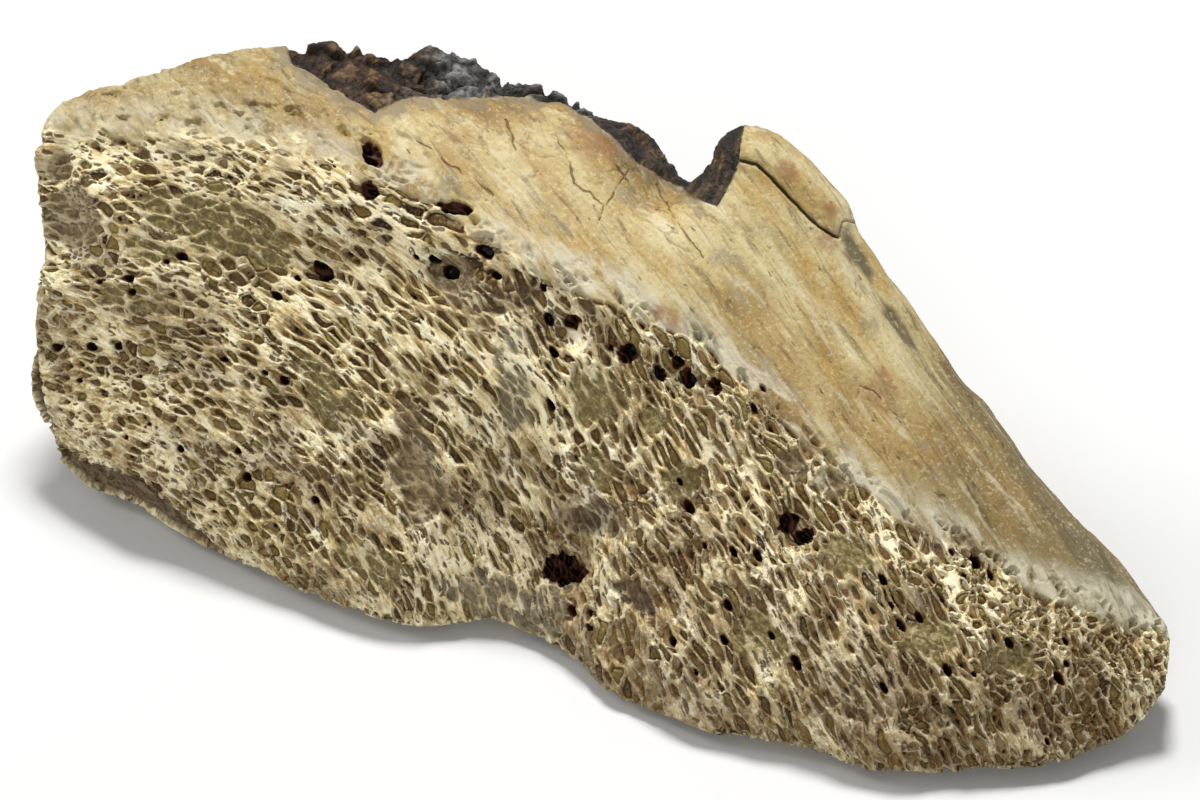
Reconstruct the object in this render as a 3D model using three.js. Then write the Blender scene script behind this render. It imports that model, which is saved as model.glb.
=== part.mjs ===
// A broken chunk of a large fossil leg bone, lying on its broken underside.
//
// The chunk is a wedge of the bone's wall. Its top right face is the smooth outer wall, which curves down
// at the back. The large front face is a break through the spongy inside, in two lobes with a valley between
// them. At the back left the wall has broken away from a dark, lumpy crust, and a notch is chipped out of the
// wall beside a raised flake. It grew as one piece, so it is one mesh.
//
// Millimetres, +X along the bone's long axis, -Y the spongy front, +Z up, z = 0 the flat spot it rests on.

import * as THREE from "three";
import { ImprovedNoise } from "three/addons/math/ImprovedNoise.js";
import { mergeVertices } from "three/addons/utils/BufferGeometryUtils.js";

// Driving dimensions
const LENGTH = 114; // overall, along X
const STEPS_ALONG = 92; // rings of faces from end to end
const STEPS_AROUND = 53; // faces round the chunk
const STEPS_IN_END = 8; // rings that close each broken end
const LEFT_END_BULGE = 2.2;
const RIGHT_END_BULGE = 0.8;

const point = (x, y, z) => new THREE.Vector3(x, y, z);
const rail = (points) =>
  new THREE.CatmullRomCurve3(points.map((p) => point(...p)), false, "centripetal");

// The rails: edges that run from the left end to the right end, each a smooth curve.
// Together they go round the chunk in order: up the spongy front, over the wall, down the back and under.
const FRONT_FOOT = rail([
  [-47.8, -18, 2.4], [-43, -19, 1.4], [-38, -19.6, 1.2], [-31, -20.6, 1], [-23, -21.6, 1], [-15, -22, 1],
  [-9, -20.8, 1], [-3, -17.8, 1.2], [3, -16.8, 1.2], [9, -19.2, 1], [17, -21, 1], [26, -19.6, 1],
  [37, -17.8, 1], [44, -14.6, 1.2], [49.4, -11, 1.4], [53.4, -6.4, 1.6], [56, -2.4, 2.2],
]);
const FRONT_LIP = rail([
  [-51.4, -16.4, 9.4], [-45, -18.8, 7.6], [-39.5, -20.4, 6.2], [-33.5, -21.2, 4.8], [-27, -21.8, 4],
  [-20, -21.8, 4], [-13, -21.4, 4.4], [-4, -16.8, 5.2], [4, -15.8, 5.4], [11, -18.2, 4.8], [20, -19.8, 4.6],
  [30, -18.6, 4.4], [40, -15.8, 4.2], [47.4, -11, 4], [53, -6.2, 3.8], [57, -0.4, 4],
]);
const FRONT_MIDDLE = rail([
  [-52.6, -12.4, 16.8], [-47.4, -13.4, 17.6], [-42, -14.2, 18], [-33, -14.8, 17.4], [-22, -14.4, 16.2],
  [-12, -12.8, 15.4], [-3, -10.2, 15.2], [5, -9.9, 14.8], [13, -11.5, 14], [23, -12.5, 12.8],
  [33, -12.4, 11.2], [43, -9.8, 9], [50.4, -5, 7.4], [56.6, 1, 6.4],
]);
const FRONT_HIGH = rail([
  [-54.4, -8.6, 24], [-48.6, -8.6, 26], [-43, -8.4, 26.6], [-35, -7.6, 26.6], [-25, -6.4, 25.4],
  [-15, -5.2, 24.2], [-5, -5, 22.6], [4, -4.6, 20.8], [13, -5.4, 19.2], [23, -7, 17], [33, -7.4, 14.4],
  [43, -5.8, 11.6], [50.4, -1.8, 9.2], [55.8, 2.2, 7.8],
]);
const RIDGE = rail([
  [-56.4, -5.4, 29.2], [-54, -5, 30.4], [-46.6, -4.4, 31.8], [-39, -3.4, 32.6], [-30.6, -1.6, 33.2],
  [-23.5, -0.8, 33], [-17, 0.3, 31.4], [-10, -0.4, 29.8], [-4, -1.2, 28.4], [3, -0.8, 27], [9.5, 0.2, 25.4],
  [15, -1.2, 23.6], [21, -2.6, 21.4], [32, -3.2, 17.2], [42.5, -1.8, 13.4], [49, 0.6, 11], [54.6, 2.9, 9],
]);
const WALL_MIDDLE = rail([
  [-56.6, -3.6, 29.8], [-54, -2.2, 31], [-47.6, -0.4, 33], [-41.2, 2.6, 34], [-33, 4.6, 34.2],
  [-25, 5.4, 33.6], [-16, 7.4, 32.8], [-8, 6.8, 31.6], [0, 7.6, 30.4], [8, 9.2, 29.4], [16, 8.6, 26.8],
  [25, 6.8, 22.8], [35, 4.6, 18.2], [43.4, 3.6, 14.2], [49.6, 3.8, 11.4], [54.6, 3.9, 9],
]);
const WALL_EDGE = rail([
  [-56.4, -2.4, 29.6], [-54, -0.4, 31], [-50.4, 1.8, 32.4], [-45.8, 4.8, 34], [-41.2, 8, 34.6],
  [-36.6, 9.2, 34.8], [-31, 8.4, 34], [-25, 9.4, 33.4], [-19, 12.6, 33.4], [-13, 14.8, 33.4],
  [-8.5, 14.2, 33], [-4.6, 14, 31.6], [-0.8, 13.8, 29.4], [1.6, 16.4, 32], [4.4, 17.8, 33.2],
  [9, 17.8, 32.2], [13.4, 17.2, 30], [17, 16.2, 27.8], [22, 15, 24.4], [27, 12.8, 21.6], [35, 9.8, 17.8],
  [43.4, 7.6, 13.6], [49.4, 6, 11], [54.4, 4.8, 8.8],
]);
const BACK_RIM = rail([
  [-55.6, -1, 28.2], [-53.4, 1.4, 29.8], [-50, 3.6, 31.2], [-45.8, 6.8, 33], [-41.2, 9.8, 34.2],
  [-37, 12, 34.4], [-32, 14, 33.6], [-27.5, 16.4, 33.6], [-22, 18.2, 32.8], [-16, 18.8, 32],
  [-10.4, 19.6, 31.6], [-6, 19.8, 29.6], [-2.2, 19, 26.6], [-0.2, 19.4, 27.4], [1.6, 20.4, 32.6],
  [4, 20.6, 33.4], [8.3, 20, 32.4], [12.8, 19.4, 30], [16, 18.6, 28], [19, 17.8, 25.6], [22.6, 16.9, 22.9],
  [26.6, 15.2, 20.4], [33, 13.2, 16.8], [40.8, 10.4, 12.8], [45.8, 8.8, 10.6], [50, 7.2, 9],
  [53.8, 5.6, 7.8],
]);
const BACK_HIGH = rail([
  [-53.4, 3, 21], [-44.6, 10.2, 23], [-36, 16.2, 24], [-26, 20, 24], [-16, 20.8, 22.4], [-6, 20.6, 20.6],
  [4, 21.6, 21], [13, 20.8, 20], [22, 18.4, 16.6], [32, 15, 13], [42, 11, 9.8], [48.6, 9, 7.4],
  [54, 6.4, 6.2],
]);
const BACK_LOW = rail([
  [-51.4, 4.2, 10], [-43, 10.8, 10.6], [-34, 15.8, 11], [-24, 19, 11], [-14, 20, 10.4], [-4, 20.2, 9.8],
  [6, 20.4, 9.6], [16, 19.4, 9], [26, 17, 7.8], [36, 13.4, 6.6], [44, 10.4, 5.4], [49.4, 8.4, 4.8],
  [54.6, 5.4, 4.4],
]);
const BACK_FOOT = rail([
  [-48.6, 2.2, 2], [-41, 8, 1.4], [-32, 12.6, 1.2], [-22, 15.4, 1], [-12, 16.6, 1], [-2, 17, 1],
  [8, 17.2, 1], [18, 16.4, 1], [28, 14.2, 1], [38, 10.8, 1.2], [46, 7.6, 1.4], [54, 3, 2],
]);
const REST_BACK = rail([
  [-43.4, 0.5, 0], [-34, 7.4, 0], [-22, 10.6, 0], [-8, 12.2, 0], [8, 12.6, 0], [22, 11, 0], [36, 7, 0],
  [49.6, 2, 0],
]);
const REST_FRONT = rail([
  [-42.6, -12.6, 0], [-34, -15, 0], [-22, -16.8, 0], [-12, -16.6, 0], [-2, -13, 0], [6, -13.2, 0],
  [18, -16.4, 0], [34, -14, 0], [42, -10.2, 0], [49, -5, 0],
]);

// How many faces lie between each rail and the next. They add up to STEPS_AROUND.
const ROUND = [
  [FRONT_FOOT, 3], [FRONT_LIP, 7], [FRONT_MIDDLE, 6], [FRONT_HIGH, 5], [RIDGE, 5], [WALL_MIDDLE, 5],
  [WALL_EDGE, 3], [BACK_RIM, 5], [BACK_HIGH, 5], [BACK_LOW, 3], [BACK_FOOT, 2], [REST_BACK, 2],
  [REST_FRONT, 2],
];

// The plain form

// The ring of points round the chunk at a share of its length, from 0 at the left end to 1 at the right.
function ringAt(share) {
  const corners = ROUND.map(([edge]) => edge.getPointAt(share));
  const ring = [];
  ROUND.forEach(([, steps], i) => {
    const next = corners[(i + 1) % corners.length];
    for (let k = 0; k < steps; k++) {
      ring.push(corners[i].clone().lerp(next, k / steps));
    }
  });
  return ring;
}

function middleOf(ring) {
  return ring.reduce((sum, p) => sum.add(p), point(0, 0, 0)).divideScalar(ring.length);
}

// The ring for each step along the chunk. At both ends the last full ring closes in to a point on a break.
function ringForStep(step) {
  const fromLeft = Math.min(step / STEPS_IN_END, 1);
  const fromRight = Math.min((STEPS_ALONG - step) / STEPS_IN_END, 1);
  const share = (step - STEPS_IN_END) / (STEPS_ALONG - 2 * STEPS_IN_END);
  const ring = ringAt(THREE.MathUtils.clamp(share, 0, 1));
  const open = Math.min(fromLeft, fromRight);
  const bulge = (fromLeft < 1 ? -LEFT_END_BULGE : RIGHT_END_BULGE) * (1 - open * open);
  const middle = middleOf(ring).add(point(bulge, 0, 0));
  return ring.map((p) => p.lerp(middle, 1 - open));
}

// A sphere's grid of faces gives the mesh its two poles and its closed seam. Its vertices move to the rings.
function plainForm() {
  const grid = new THREE.SphereGeometry(1, STEPS_AROUND, STEPS_ALONG);
  const position = grid.getAttribute("position");
  for (let step = 0; step <= STEPS_ALONG; step++) {
    const ring = ringForStep(step);
    for (let k = 0; k <= STEPS_AROUND; k++) {
      const p = ring[k % STEPS_AROUND];
      position.setXYZ(step * (STEPS_AROUND + 1) + k, p.x, p.y, p.z);
    }
  }
  grid.deleteAttribute("normal");
  grid.deleteAttribute("uv");
  return mergeVertices(grid, MERGE_GAP);
}

// The relief: what the breaks and the crust add to the plain form
const MERGE_GAP = 1e-4;
const LUMP_FADE = 0.55; // each finer layer of lumps is this share as high as the one before
const LUMP_SHRINK = 2.1; // and this many times smaller
const FRONT_LUMPS = { size: 9, layers: 3, height: 0.9, seed: 11.3 };
const SMALL_LUMPS = { size: 3.2, layers: 2, height: 0.5, seed: 4.1 };
const CRUST_LUMPS = { size: 4.4, layers: 2, height: 1.7, seed: 27.9 };
const SMOOTH_SHARE = 0.25; // how much of the lumps the smooth wall keeps
const FOOT_FADE = 1.6; // the lumps fade out below this height, towards the flat spot

// The struts of the spongy bone stand out as ribs, in arcs over the left lobe and slanting over the right one.
const ARC_CENTRE = { x: -42, z: -45 };
const ARC_RADIUS = 64;
const SLANT = THREE.MathUtils.degToRad(40);
const RIB = { width: 4.2, length: 15, height: 1.1 };
const VALLEY = { from: -6, to: 2 };

// Where the crust begins behind the wall's broken edge, as x and y, and where it ends at the notch.
const CRUST_BORDER = [
  [-60, 2], [-42, 9.6], [-33, 8.2], [-27, 6.8], [-21, 12.8], [-14, 16], [-4, 14], [6, 13.8],
];
const CRUST_END = { from: -1, to: 2 };

// The raised flake right of the notch: its crack runs between two points, seen from above.
const FLAKE = { left: 1.4, right: 14.2, crackLeft: 17.6, crackRight: 16.2, lift: 1, low: 24 };

// Hollows: the large pores, the worn patches and the valley.
const HOLLOWS = [
  { name: "blood vessel hole", at: [3.3, -14.4, 7.9], reach: [2.8, 4.4, 2.8], depth: 3.4 },
  { name: "tan pit", at: [-12.1, -13.8, 14.1], reach: [3.4, 4.6, 3.8], depth: 1.5 },
  { name: "tan patch", at: [-10.7, -15.5, 11.1], reach: [3, 5, 3.4], depth: 0.7 },
  { name: "valley", at: [-3.5, -12, 13], reach: [7, 12, 16], depth: 1.3 },
  { name: "saddle", at: [0.1, -16.8, 3.6], reach: [5, 4, 4], depth: 0.8 },
  { name: "brown hollow", at: [5.4, -11.1, 12.2], reach: [3.6, 5, 2.8], depth: 1.5 },
  { name: "upper end hollow", at: [-52.9, -7.4, 27.3], reach: [2.8, 4, 2.6], depth: 1.6 },
  { name: "middle end hollow", at: [-51, -9.6, 23.4], reach: [3.4, 4.4, 3.6], depth: 1.8 },
  { name: "lower end hollow", at: [-53, -8, 15], reach: [3.4, 5, 4], depth: 1.4 },
  { name: "deep pores", at: [23.2, -8, 16.2], reach: [2.6, 4, 2.2], depth: 2.2 },
  { name: "slot in the wall", at: [-16.1, 0.7, 31.3], reach: [2.4, 1.6, 2.4], depth: 1.4 },
  { name: "pore in the wall", at: [-25.3, 1.8, 33.4], reach: [1.8, 1.8, 2.4], depth: 1.2 },
  { name: "slanted pore", at: [-25.6, -6.6, 25.4], reach: [2.2, 3, 1.8], depth: 1.2 },
  { name: "pores left of the valley", at: [-15.6, -3, 27], reach: [2.6, 3, 2], depth: 1.5 },
  { name: "pores in the valley", at: [-2.4, -3.4, 24.8], reach: [2.2, 3, 2.6], depth: 1.7 },
  { name: "pores under the ridge", at: [8.8, -2, 23.4], reach: [4, 2.6, 1.8], depth: 1.5 },
  { name: "pores on the right lobe", at: [12.6, -8.4, 16.6], reach: [2.2, 3.4, 2.4], depth: 1.3 },
  { name: "pores low on the right", at: [35.6, -8.8, 12.6], reach: [3, 3, 2.4], depth: 1.2 },
  { name: "pore by the right end", at: [45, -8, 9.4], reach: [2.2, 3, 2], depth: 1.1 },
];

// Swellings: the crust's knobs along the back.
const KNOBS = [
  { name: "left knob", at: [-35, 12.6, 34.6], reach: [4, 4, 4], depth: 1 },
  { name: "tall knob", at: [-27.5, 16.6, 34.6], reach: [2.8, 3.4, 3.6], depth: 1.6 },
  { name: "middle knob", at: [-23, 17.6, 34], reach: [2.6, 3, 3.4], depth: 1.2 },
  { name: "right knob", at: [-18.5, 18, 33], reach: [2.8, 3.4, 3.4], depth: 1 },
];

const noise = new ImprovedNoise();
const { lerp, smoothstep } = THREE.MathUtils;

// Layers of smooth noise at a point, from about -height to height. size is the width of the largest lumps.
function lumps(p, { size, layers, height, seed }) {
  let sum = 0;
  let weight = 1;
  let total = 0;
  let scale = 1 / size;
  for (let i = 0; i < layers; i++) {
    sum += weight * noise.noise(p.x * scale + seed, p.y * scale - seed, p.z * scale + seed / 2);
    total += weight;
    weight *= LUMP_FADE;
    scale *= LUMP_SHRINK;
  }
  return (height * sum) / total;
}

// Noise drawn out along the struts: an arc's turn or a slant's length one way, a rib's width the other.
function ribs(p) {
  const across = Math.hypot(p.x - ARC_CENTRE.x, p.z - ARC_CENTRE.z);
  const along = ARC_RADIUS * Math.atan2(p.x - ARC_CENTRE.x, p.z - ARC_CENTRE.z);
  const arcs = noise.noise(along / RIB.length, across / RIB.width, p.y / RIB.length);
  const slantAlong = p.x * Math.cos(SLANT) - p.z * Math.sin(SLANT);
  const slantAcross = p.x * Math.sin(SLANT) + p.z * Math.cos(SLANT);
  const slanted = noise.noise(slantAlong / RIB.length, slantAcross / RIB.width, p.y / RIB.length);
  return RIB.height * lerp(arcs, slanted, smoothstep(p.x, VALLEY.from, VALLEY.to));
}

// From 1 at the middle of a round or long spot to 0 at its rim.
function spot(p, { at, reach }) {
  const away = Math.hypot((p.x - at[0]) / reach[0], (p.y - at[1]) / reach[1], (p.z - at[2]) / reach[2]);
  return away < 1 ? (1 - away * away) ** 2 : 0;
}

// The border's y at an x, on straight lines between its points.
function heightOn(border, x) {
  const i = border.findIndex(([right]) => right >= x);
  const [[x0, y0], [x1, y1]] = border.slice(i - 1, i + 1);
  return lerp(y0, y1, (x - x0) / (x1 - x0));
}

// How much a point belongs to the crust, from 0 to 1.
function crustAt(p) {
  if (p.x > CRUST_END.to) {
    return 0;
  }
  const behind = p.y - heightOn(CRUST_BORDER, p.x);
  return smoothstep(behind, 0, 2) * (1 - smoothstep(p.x, CRUST_END.from, CRUST_END.to));
}

// How much a point belongs to the raised flake, from 0 to 1.
function flakeAt(p) {
  const crack = lerp(FLAKE.crackLeft, FLAKE.crackRight, (p.x - FLAKE.left) / (FLAKE.right - FLAKE.left));
  const inLength = p.x > FLAKE.left && p.x < FLAKE.right;
  return inLength ? smoothstep(p.y, crack - 0.4, crack + 0.4) * smoothstep(p.z, FLAKE.low, FLAKE.low + 3) : 0;
}

// How far the surface moves out of the plain form, and in where negative.
function relief(p, normal) {
  const crust = crustAt(p);
  const wall = smoothstep(normal.z, 0.5, 0.85) * (1 - crust);
  const front = smoothstep(-normal.y, 0.1, 0.5);
  const rough = lerp(1, SMOOTH_SHARE, wall);
  let out = rough * (lumps(p, FRONT_LUMPS) + lumps(p, SMALL_LUMPS));
  out += front * (1 - wall) * ribs(p);
  out += crust * lumps(p, CRUST_LUMPS);
  out += FLAKE.lift * flakeAt(p);
  for (const hollow of HOLLOWS) {
    out -= hollow.depth * spot(p, hollow);
  }
  for (const knob of KNOBS) {
    out += knob.depth * spot(p, knob);
  }
  return out * smoothstep(p.z, 0.1, FOOT_FADE);
}

function withRelief(form) {
  form.computeVertexNormals();
  const position = form.getAttribute("position");
  const normals = form.getAttribute("normal");
  for (let i = 0; i < position.count; i++) {
    const p = point(0, 0, 0).fromBufferAttribute(position, i);
    const normal = point(0, 0, 0).fromBufferAttribute(normals, i);
    const moved = p.clone().addScaledVector(normal, relief(p, normal));
    position.setXYZ(i, moved.x, moved.y, p.z === 0 ? 0 : Math.max(moved.z, 0));
  }
  form.deleteAttribute("normal");
  return form;
}

// Centres the chunk over the origin, at its full length.
function placed(form) {
  form.computeBoundingBox();
  const { min, max } = form.boundingBox;
  const fit = LENGTH / (max.x - min.x);
  form.translate(-(min.x + max.x) / 2, -(min.y + max.y) / 2, 0);
  form.scale(fit, fit, fit);
  return form;
}

const fossil = new THREE.MeshStandardMaterial({ color: 0xa8946c, roughness: 0.62, metalness: 0 });

const bone = new THREE.Mesh(placed(withRelief(plainForm())), fossil);
bone.name = "bone_fragment";

const part = new THREE.Group();
part.add(bone);

export default part;
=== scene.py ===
"""A broken fragment of a large fossil leg bone, on a pale floor in soft light.

The fragment is one natural piece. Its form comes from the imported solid: the solid is remeshed finely,
smoothed, and given its real relief, which is the open struts and pores of the spongy front, the grain and
the cracks of the smooth outer wall, and the lumps of the dark crust. Sizes are in millimetres until the
meshes are made in metres.
"""

import logging
import math
from dataclasses import dataclass
from enum import Enum
from typing import Sequence

import bpy
import numpy as np
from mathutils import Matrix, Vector


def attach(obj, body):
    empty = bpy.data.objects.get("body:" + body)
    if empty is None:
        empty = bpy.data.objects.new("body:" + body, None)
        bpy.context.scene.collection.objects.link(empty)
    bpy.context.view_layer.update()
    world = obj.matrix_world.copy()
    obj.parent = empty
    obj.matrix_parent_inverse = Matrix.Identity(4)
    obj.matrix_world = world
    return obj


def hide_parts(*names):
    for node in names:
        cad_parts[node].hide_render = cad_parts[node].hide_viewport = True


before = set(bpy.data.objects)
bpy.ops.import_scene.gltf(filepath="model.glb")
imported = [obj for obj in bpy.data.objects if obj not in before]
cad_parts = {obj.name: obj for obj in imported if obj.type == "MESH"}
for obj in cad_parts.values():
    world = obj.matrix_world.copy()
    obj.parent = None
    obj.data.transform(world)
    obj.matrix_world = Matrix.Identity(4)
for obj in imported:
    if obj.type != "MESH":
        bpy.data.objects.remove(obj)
log = logging.getLogger("fossil_bone")

METRES = 0.001
NODE = "bone_fragment"
BODY = "root"
Points = np.ndarray
Values = np.ndarray


def smooth_step(low: float, high: float, values: Values) -> Values:
    """Eases values from 0 at low to 1 at high, which may be below low to ease the other way."""
    share = np.clip((values - low) / (high - low), 0.0, 1.0)
    return share * share * (3.0 - 2.0 * share)


def blend(first: Values, second: Values, share: Values) -> Values:
    """Goes from the first values to the second as share goes from 0 to 1."""
    return first + (second - first) * share


@dataclass(frozen=True)
class PhotoView:
    """The photograph's camera, and the pixels of its frame as places on the fragment.

    Attributes:
        azimuth_deg: How far the camera stands round from the front.
        elevation_deg: How far it looks down.
        distance_mm: From the camera to its target.
        target_mm: The point in the middle of the frame.
        mm_per_px: The size of a pixel at the target.
        frame_px: Width and height of the frame.
        sensor_mm: Width of the camera's sensor.
    """

    azimuth_deg: float = 29.0
    elevation_deg: float = 40.0
    distance_mm: float = 906.5
    target_mm: tuple[float, float, float] = (-0.516, -0.546, 16.318)
    mm_per_px: float = 0.09065
    frame_px: tuple[int, int] = (1200, 800)
    sensor_mm: float = 36.0

    def axes(self) -> tuple[Points, Points, Points]:
        """Works out the frame's own directions.

        Returns:
            Its right, its up and the way back to the camera.
        """
        turn = math.radians(self.azimuth_deg)
        tilt = math.radians(self.elevation_deg)
        right = np.array([math.cos(turn), math.sin(turn), 0.0])
        back = np.array([math.sin(turn) * math.cos(tilt), -math.cos(turn) * math.cos(tilt), math.sin(tilt)])
        return right, np.cross(back, right), back

    def pixels(self, points: Points) -> tuple[Values, Values, Values]:
        """Finds where points fall in the photograph.

        Args:
            points: Places in millimetres, one a row.

        Returns:
            Their pixels across and down, and how far they lie in front of the target in millimetres.
        """
        right, up, back = self.axes()
        offset = points - np.array(self.target_mm)
        nearness = offset @ back
        scale = self.distance_mm / (self.distance_mm - nearness) / self.mm_per_px
        across = self.frame_px[0] / 2 + (offset @ right) * scale
        down = self.frame_px[1] / 2 - (offset @ up) * scale
        return across, down, nearness

    def build(self) -> bpy.types.Object:
        """Makes the camera and makes it the scene's.

        Returns:
            The camera.
        """
        data = bpy.data.cameras.new("photo_camera")
        data.sensor_width = self.sensor_mm
        data.lens = self.sensor_mm * self.distance_mm / (self.frame_px[0] * self.mm_per_px)
        data.clip_start = 0.01
        data.dof.use_dof = False
        camera = bpy.data.objects.new("photo_camera", data)
        bpy.context.collection.objects.link(camera)
        _, _, back = self.axes()
        target = Vector(self.target_mm) * METRES
        camera.location = target + Vector(back) * self.distance_mm * METRES
        camera.rotation_euler = Vector(back).to_track_quat("Z", "Y").to_euler()
        bpy.context.scene.camera = camera
        return camera


class Chance:
    """Repeatable random numbers and smooth noise, worked out from the corners of a lattice."""

    PRIMES = (374761393, 668265263, 1274126177, 2246822519)

    @classmethod
    def number(cls, cell: Points, seed: int) -> Values:
        """A random number for each lattice cell.

        Args:
            cell: Whole-number cells, one a row.
            seed: Picks another set of numbers.

        Returns:
            Numbers from 0 to 1.
        """
        x, y, z, s = (np.uint32(prime) for prime in cls.PRIMES)
        start = np.uint32(seed * cls.PRIMES[3] % 2**32)
        column = cell.astype(np.int64).astype(np.uint32)
        mixed = column[:, 0] * x + column[:, 1] * y + column[:, 2] * z + start
        mixed = (mixed ^ (mixed >> np.uint32(13))) * z
        mixed = (mixed ^ (mixed >> np.uint32(15))) * s
        mixed = mixed ^ (mixed >> np.uint32(16))
        return mixed.astype(np.float32) / np.float32(2**32)

    @classmethod
    def noise(cls, points: Points, size: float | Sequence[float], seed: int, layers: int = 1) -> Values:
        """Smooth noise in layers, each finer and weaker than the one before.

        Args:
            points: Places, one a row.
            size: How wide the largest lumps are, one number or one for each axis.
            seed: Picks another noise.
            layers: How many layers to add.

        Returns:
            Numbers from about -1 to 1.
        """
        total = np.zeros(len(points), np.float32)
        weight, whole = 1.0, 0.0
        finer, shift, next_seed = 2.03, 5.7, 17
        scaled = (points / np.asarray(size)).astype(np.float32)
        for layer in range(layers):
            total += weight * cls._layer(scaled, seed + next_seed * layer)
            whole += weight
            weight *= 0.5
            scaled = scaled * finer + shift
        return total / whole

    @classmethod
    def _layer(cls, scaled: Points, seed: int) -> Values:
        """One layer of noise between lattice corners a unit apart.

        Args:
            scaled: Places in lattice units, one a row.
            seed: Picks another noise.

        Returns:
            Numbers from -1 to 1.
        """
        corner = np.floor(scaled)
        share = scaled - corner
        ease = share * share * share * (share * (share * 6.0 - 15.0) + 10.0)
        total = np.zeros(len(scaled), np.float32)
        for dx in (0, 1):
            for dy in (0, 1):
                for dz in (0, 1):
                    weight = (ease[:, 0] if dx else 1 - ease[:, 0]) * (ease[:, 1] if dy else 1 - ease[:, 1])
                    weight = weight * (ease[:, 2] if dz else 1 - ease[:, 2])
                    total += weight * cls.number(corner + np.array([dx, dy, dz]), seed)
        return 2.0 * total - 1.0


@dataclass
class CellField:
    """What the cells say at each point.

    Attributes:
        wall_mm: The distance to the nearest wall between two cells.
        crosswise: How much that wall lies across the grain, from 0 to 1.
        chance: A random number of the own cell, from 0 to 1.
    """

    wall_mm: Values
    crosswise: Values
    chance: Values


@dataclass(frozen=True)
class Cells:
    """Irregular cells that fill space, such as the pores between a spongy bone's struts.

    Attributes:
        size_mm: How long a cell is along the grain, across it and into the bone.
        seed: Picks another set of cells.
        stray: How far a cell's middle strays from its place, from 0 to 1.
        reach: How far from its middle a cell reaches at most, in cells, which rounds its corners off.
    """

    size_mm: tuple[float, float, float]
    seed: int
    stray: float = 0.92
    reach: float = 0.7

    def at(self, coordinates: Points) -> CellField:
        """Finds the cell of each point.

        Args:
            coordinates: Places along and across the grain and into the bone, in millimetres, one a row.

        Returns:
            The cells there.
        """
        scaled = (coordinates / np.array(self.size_mm)).astype(np.float32)
        home = np.floor(scaled)
        far = 99.0
        near = np.full(len(scaled), far, np.float32)
        next_near = near.copy()
        own, other = np.zeros_like(scaled), np.zeros_like(scaled)
        chance = np.zeros(len(scaled), np.float32)
        for shift in np.ndindex(3, 3, 3):
            cell = home + (np.array(shift, np.float32) - 1)
            stray = np.stack([Chance.number(cell, self.seed + 31 * axis) for axis in range(3)], 1)
            offset = cell + 0.5 + self.stray * (stray - 0.5) - scaled
            distance = np.einsum("ij,ij->i", offset, offset)
            first = distance < near
            second = (distance < next_near) & ~first
            other = np.where(first[:, None], own, np.where(second[:, None], offset, other))
            next_near = np.where(first, near, np.where(second, distance, next_near))
            own = np.where(first[:, None], offset, own)
            near = np.where(first, distance, near)
            chance = np.where(first, Chance.number(cell, self.seed + 97), chance)
        between = other - own
        steep = between / np.array(self.size_mm, np.float32)
        length = np.maximum(np.linalg.norm(steep, axis=1), 1e-6)
        wall = 0.5 * (next_near - near) / length
        round_wall = (self.reach - np.sqrt(near)) * self.size_mm[1]
        return CellField(np.minimum(wall, round_wall), abs(steep[:, 0]) / length, chance)


@dataclass(frozen=True)
class Grain:
    """The way the struts run: in arcs over the left lobe, and slanting down straight over the right one.

    Attributes:
        arc_centre_px: The middle of the arcs, in the photograph's frame.
        slant_deg: How steeply the right lobe's struts run down to the right.
        meeting_px: Where the two ways agree.
        blend_px: How wide the stretch between them is.
    """

    arc_centre_px: tuple[float, float] = (-40.0, 800.0)
    slant_deg: float = 62.0
    meeting_px: tuple[float, float] = (545.0, 420.0)
    blend_px: float = 70.0

    def coordinates(self, across: Values, down: Values) -> tuple[Values, Values]:
        """Turns pixels into distances along and across the struts.

        Args:
            across: Pixels from the frame's left edge.
            down: Pixels from the frame's top edge.

        Returns:
            The distances along the struts and across them, in pixels.
        """
        centre_x, centre_y = self.arc_centre_px
        meet_x, meet_y = self.meeting_px
        radius = math.hypot(meet_x - centre_x, meet_y - centre_y)
        arc_along = radius * np.arctan2(across - centre_x, centre_y - down)
        arc_across = np.hypot(across - centre_x, down - centre_y)
        slant = math.radians(self.slant_deg)
        along = (across - meet_x) * math.cos(slant) + (down - meet_y) * math.sin(slant)
        outward = (across - meet_x) * math.sin(slant) - (down - meet_y) * math.cos(slant)
        along = along + radius * math.atan2(meet_x - centre_x, centre_y - meet_y)
        outward = outward + radius
        share = smooth_step(meet_x - self.blend_px, meet_x + self.blend_px, across - 0.35 * (down - meet_y))
        return blend(arc_along, along, share), blend(arc_across, outward, share)


@dataclass(frozen=True)
class WallGrain:
    """The way the outer wall's streaks run, along its long rim.

    Attributes:
        direction: Where they run to.
    """

    direction: tuple[float, float, float] = (0.83, -0.39, -0.40)

    def coordinates(self, points: Points) -> Points:
        """Turns places into distances along the streaks and across them both ways.

        Args:
            points: The places, one a row.

        Returns:
            The distances, one place a row.
        """
        along = np.array(self.direction) / np.linalg.norm(self.direction)
        aside = np.cross(along, (0.0, 0.0, 1.0))
        aside /= np.linalg.norm(aside)
        return points @ np.stack([along, aside, np.cross(along, aside)], 1)


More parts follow.
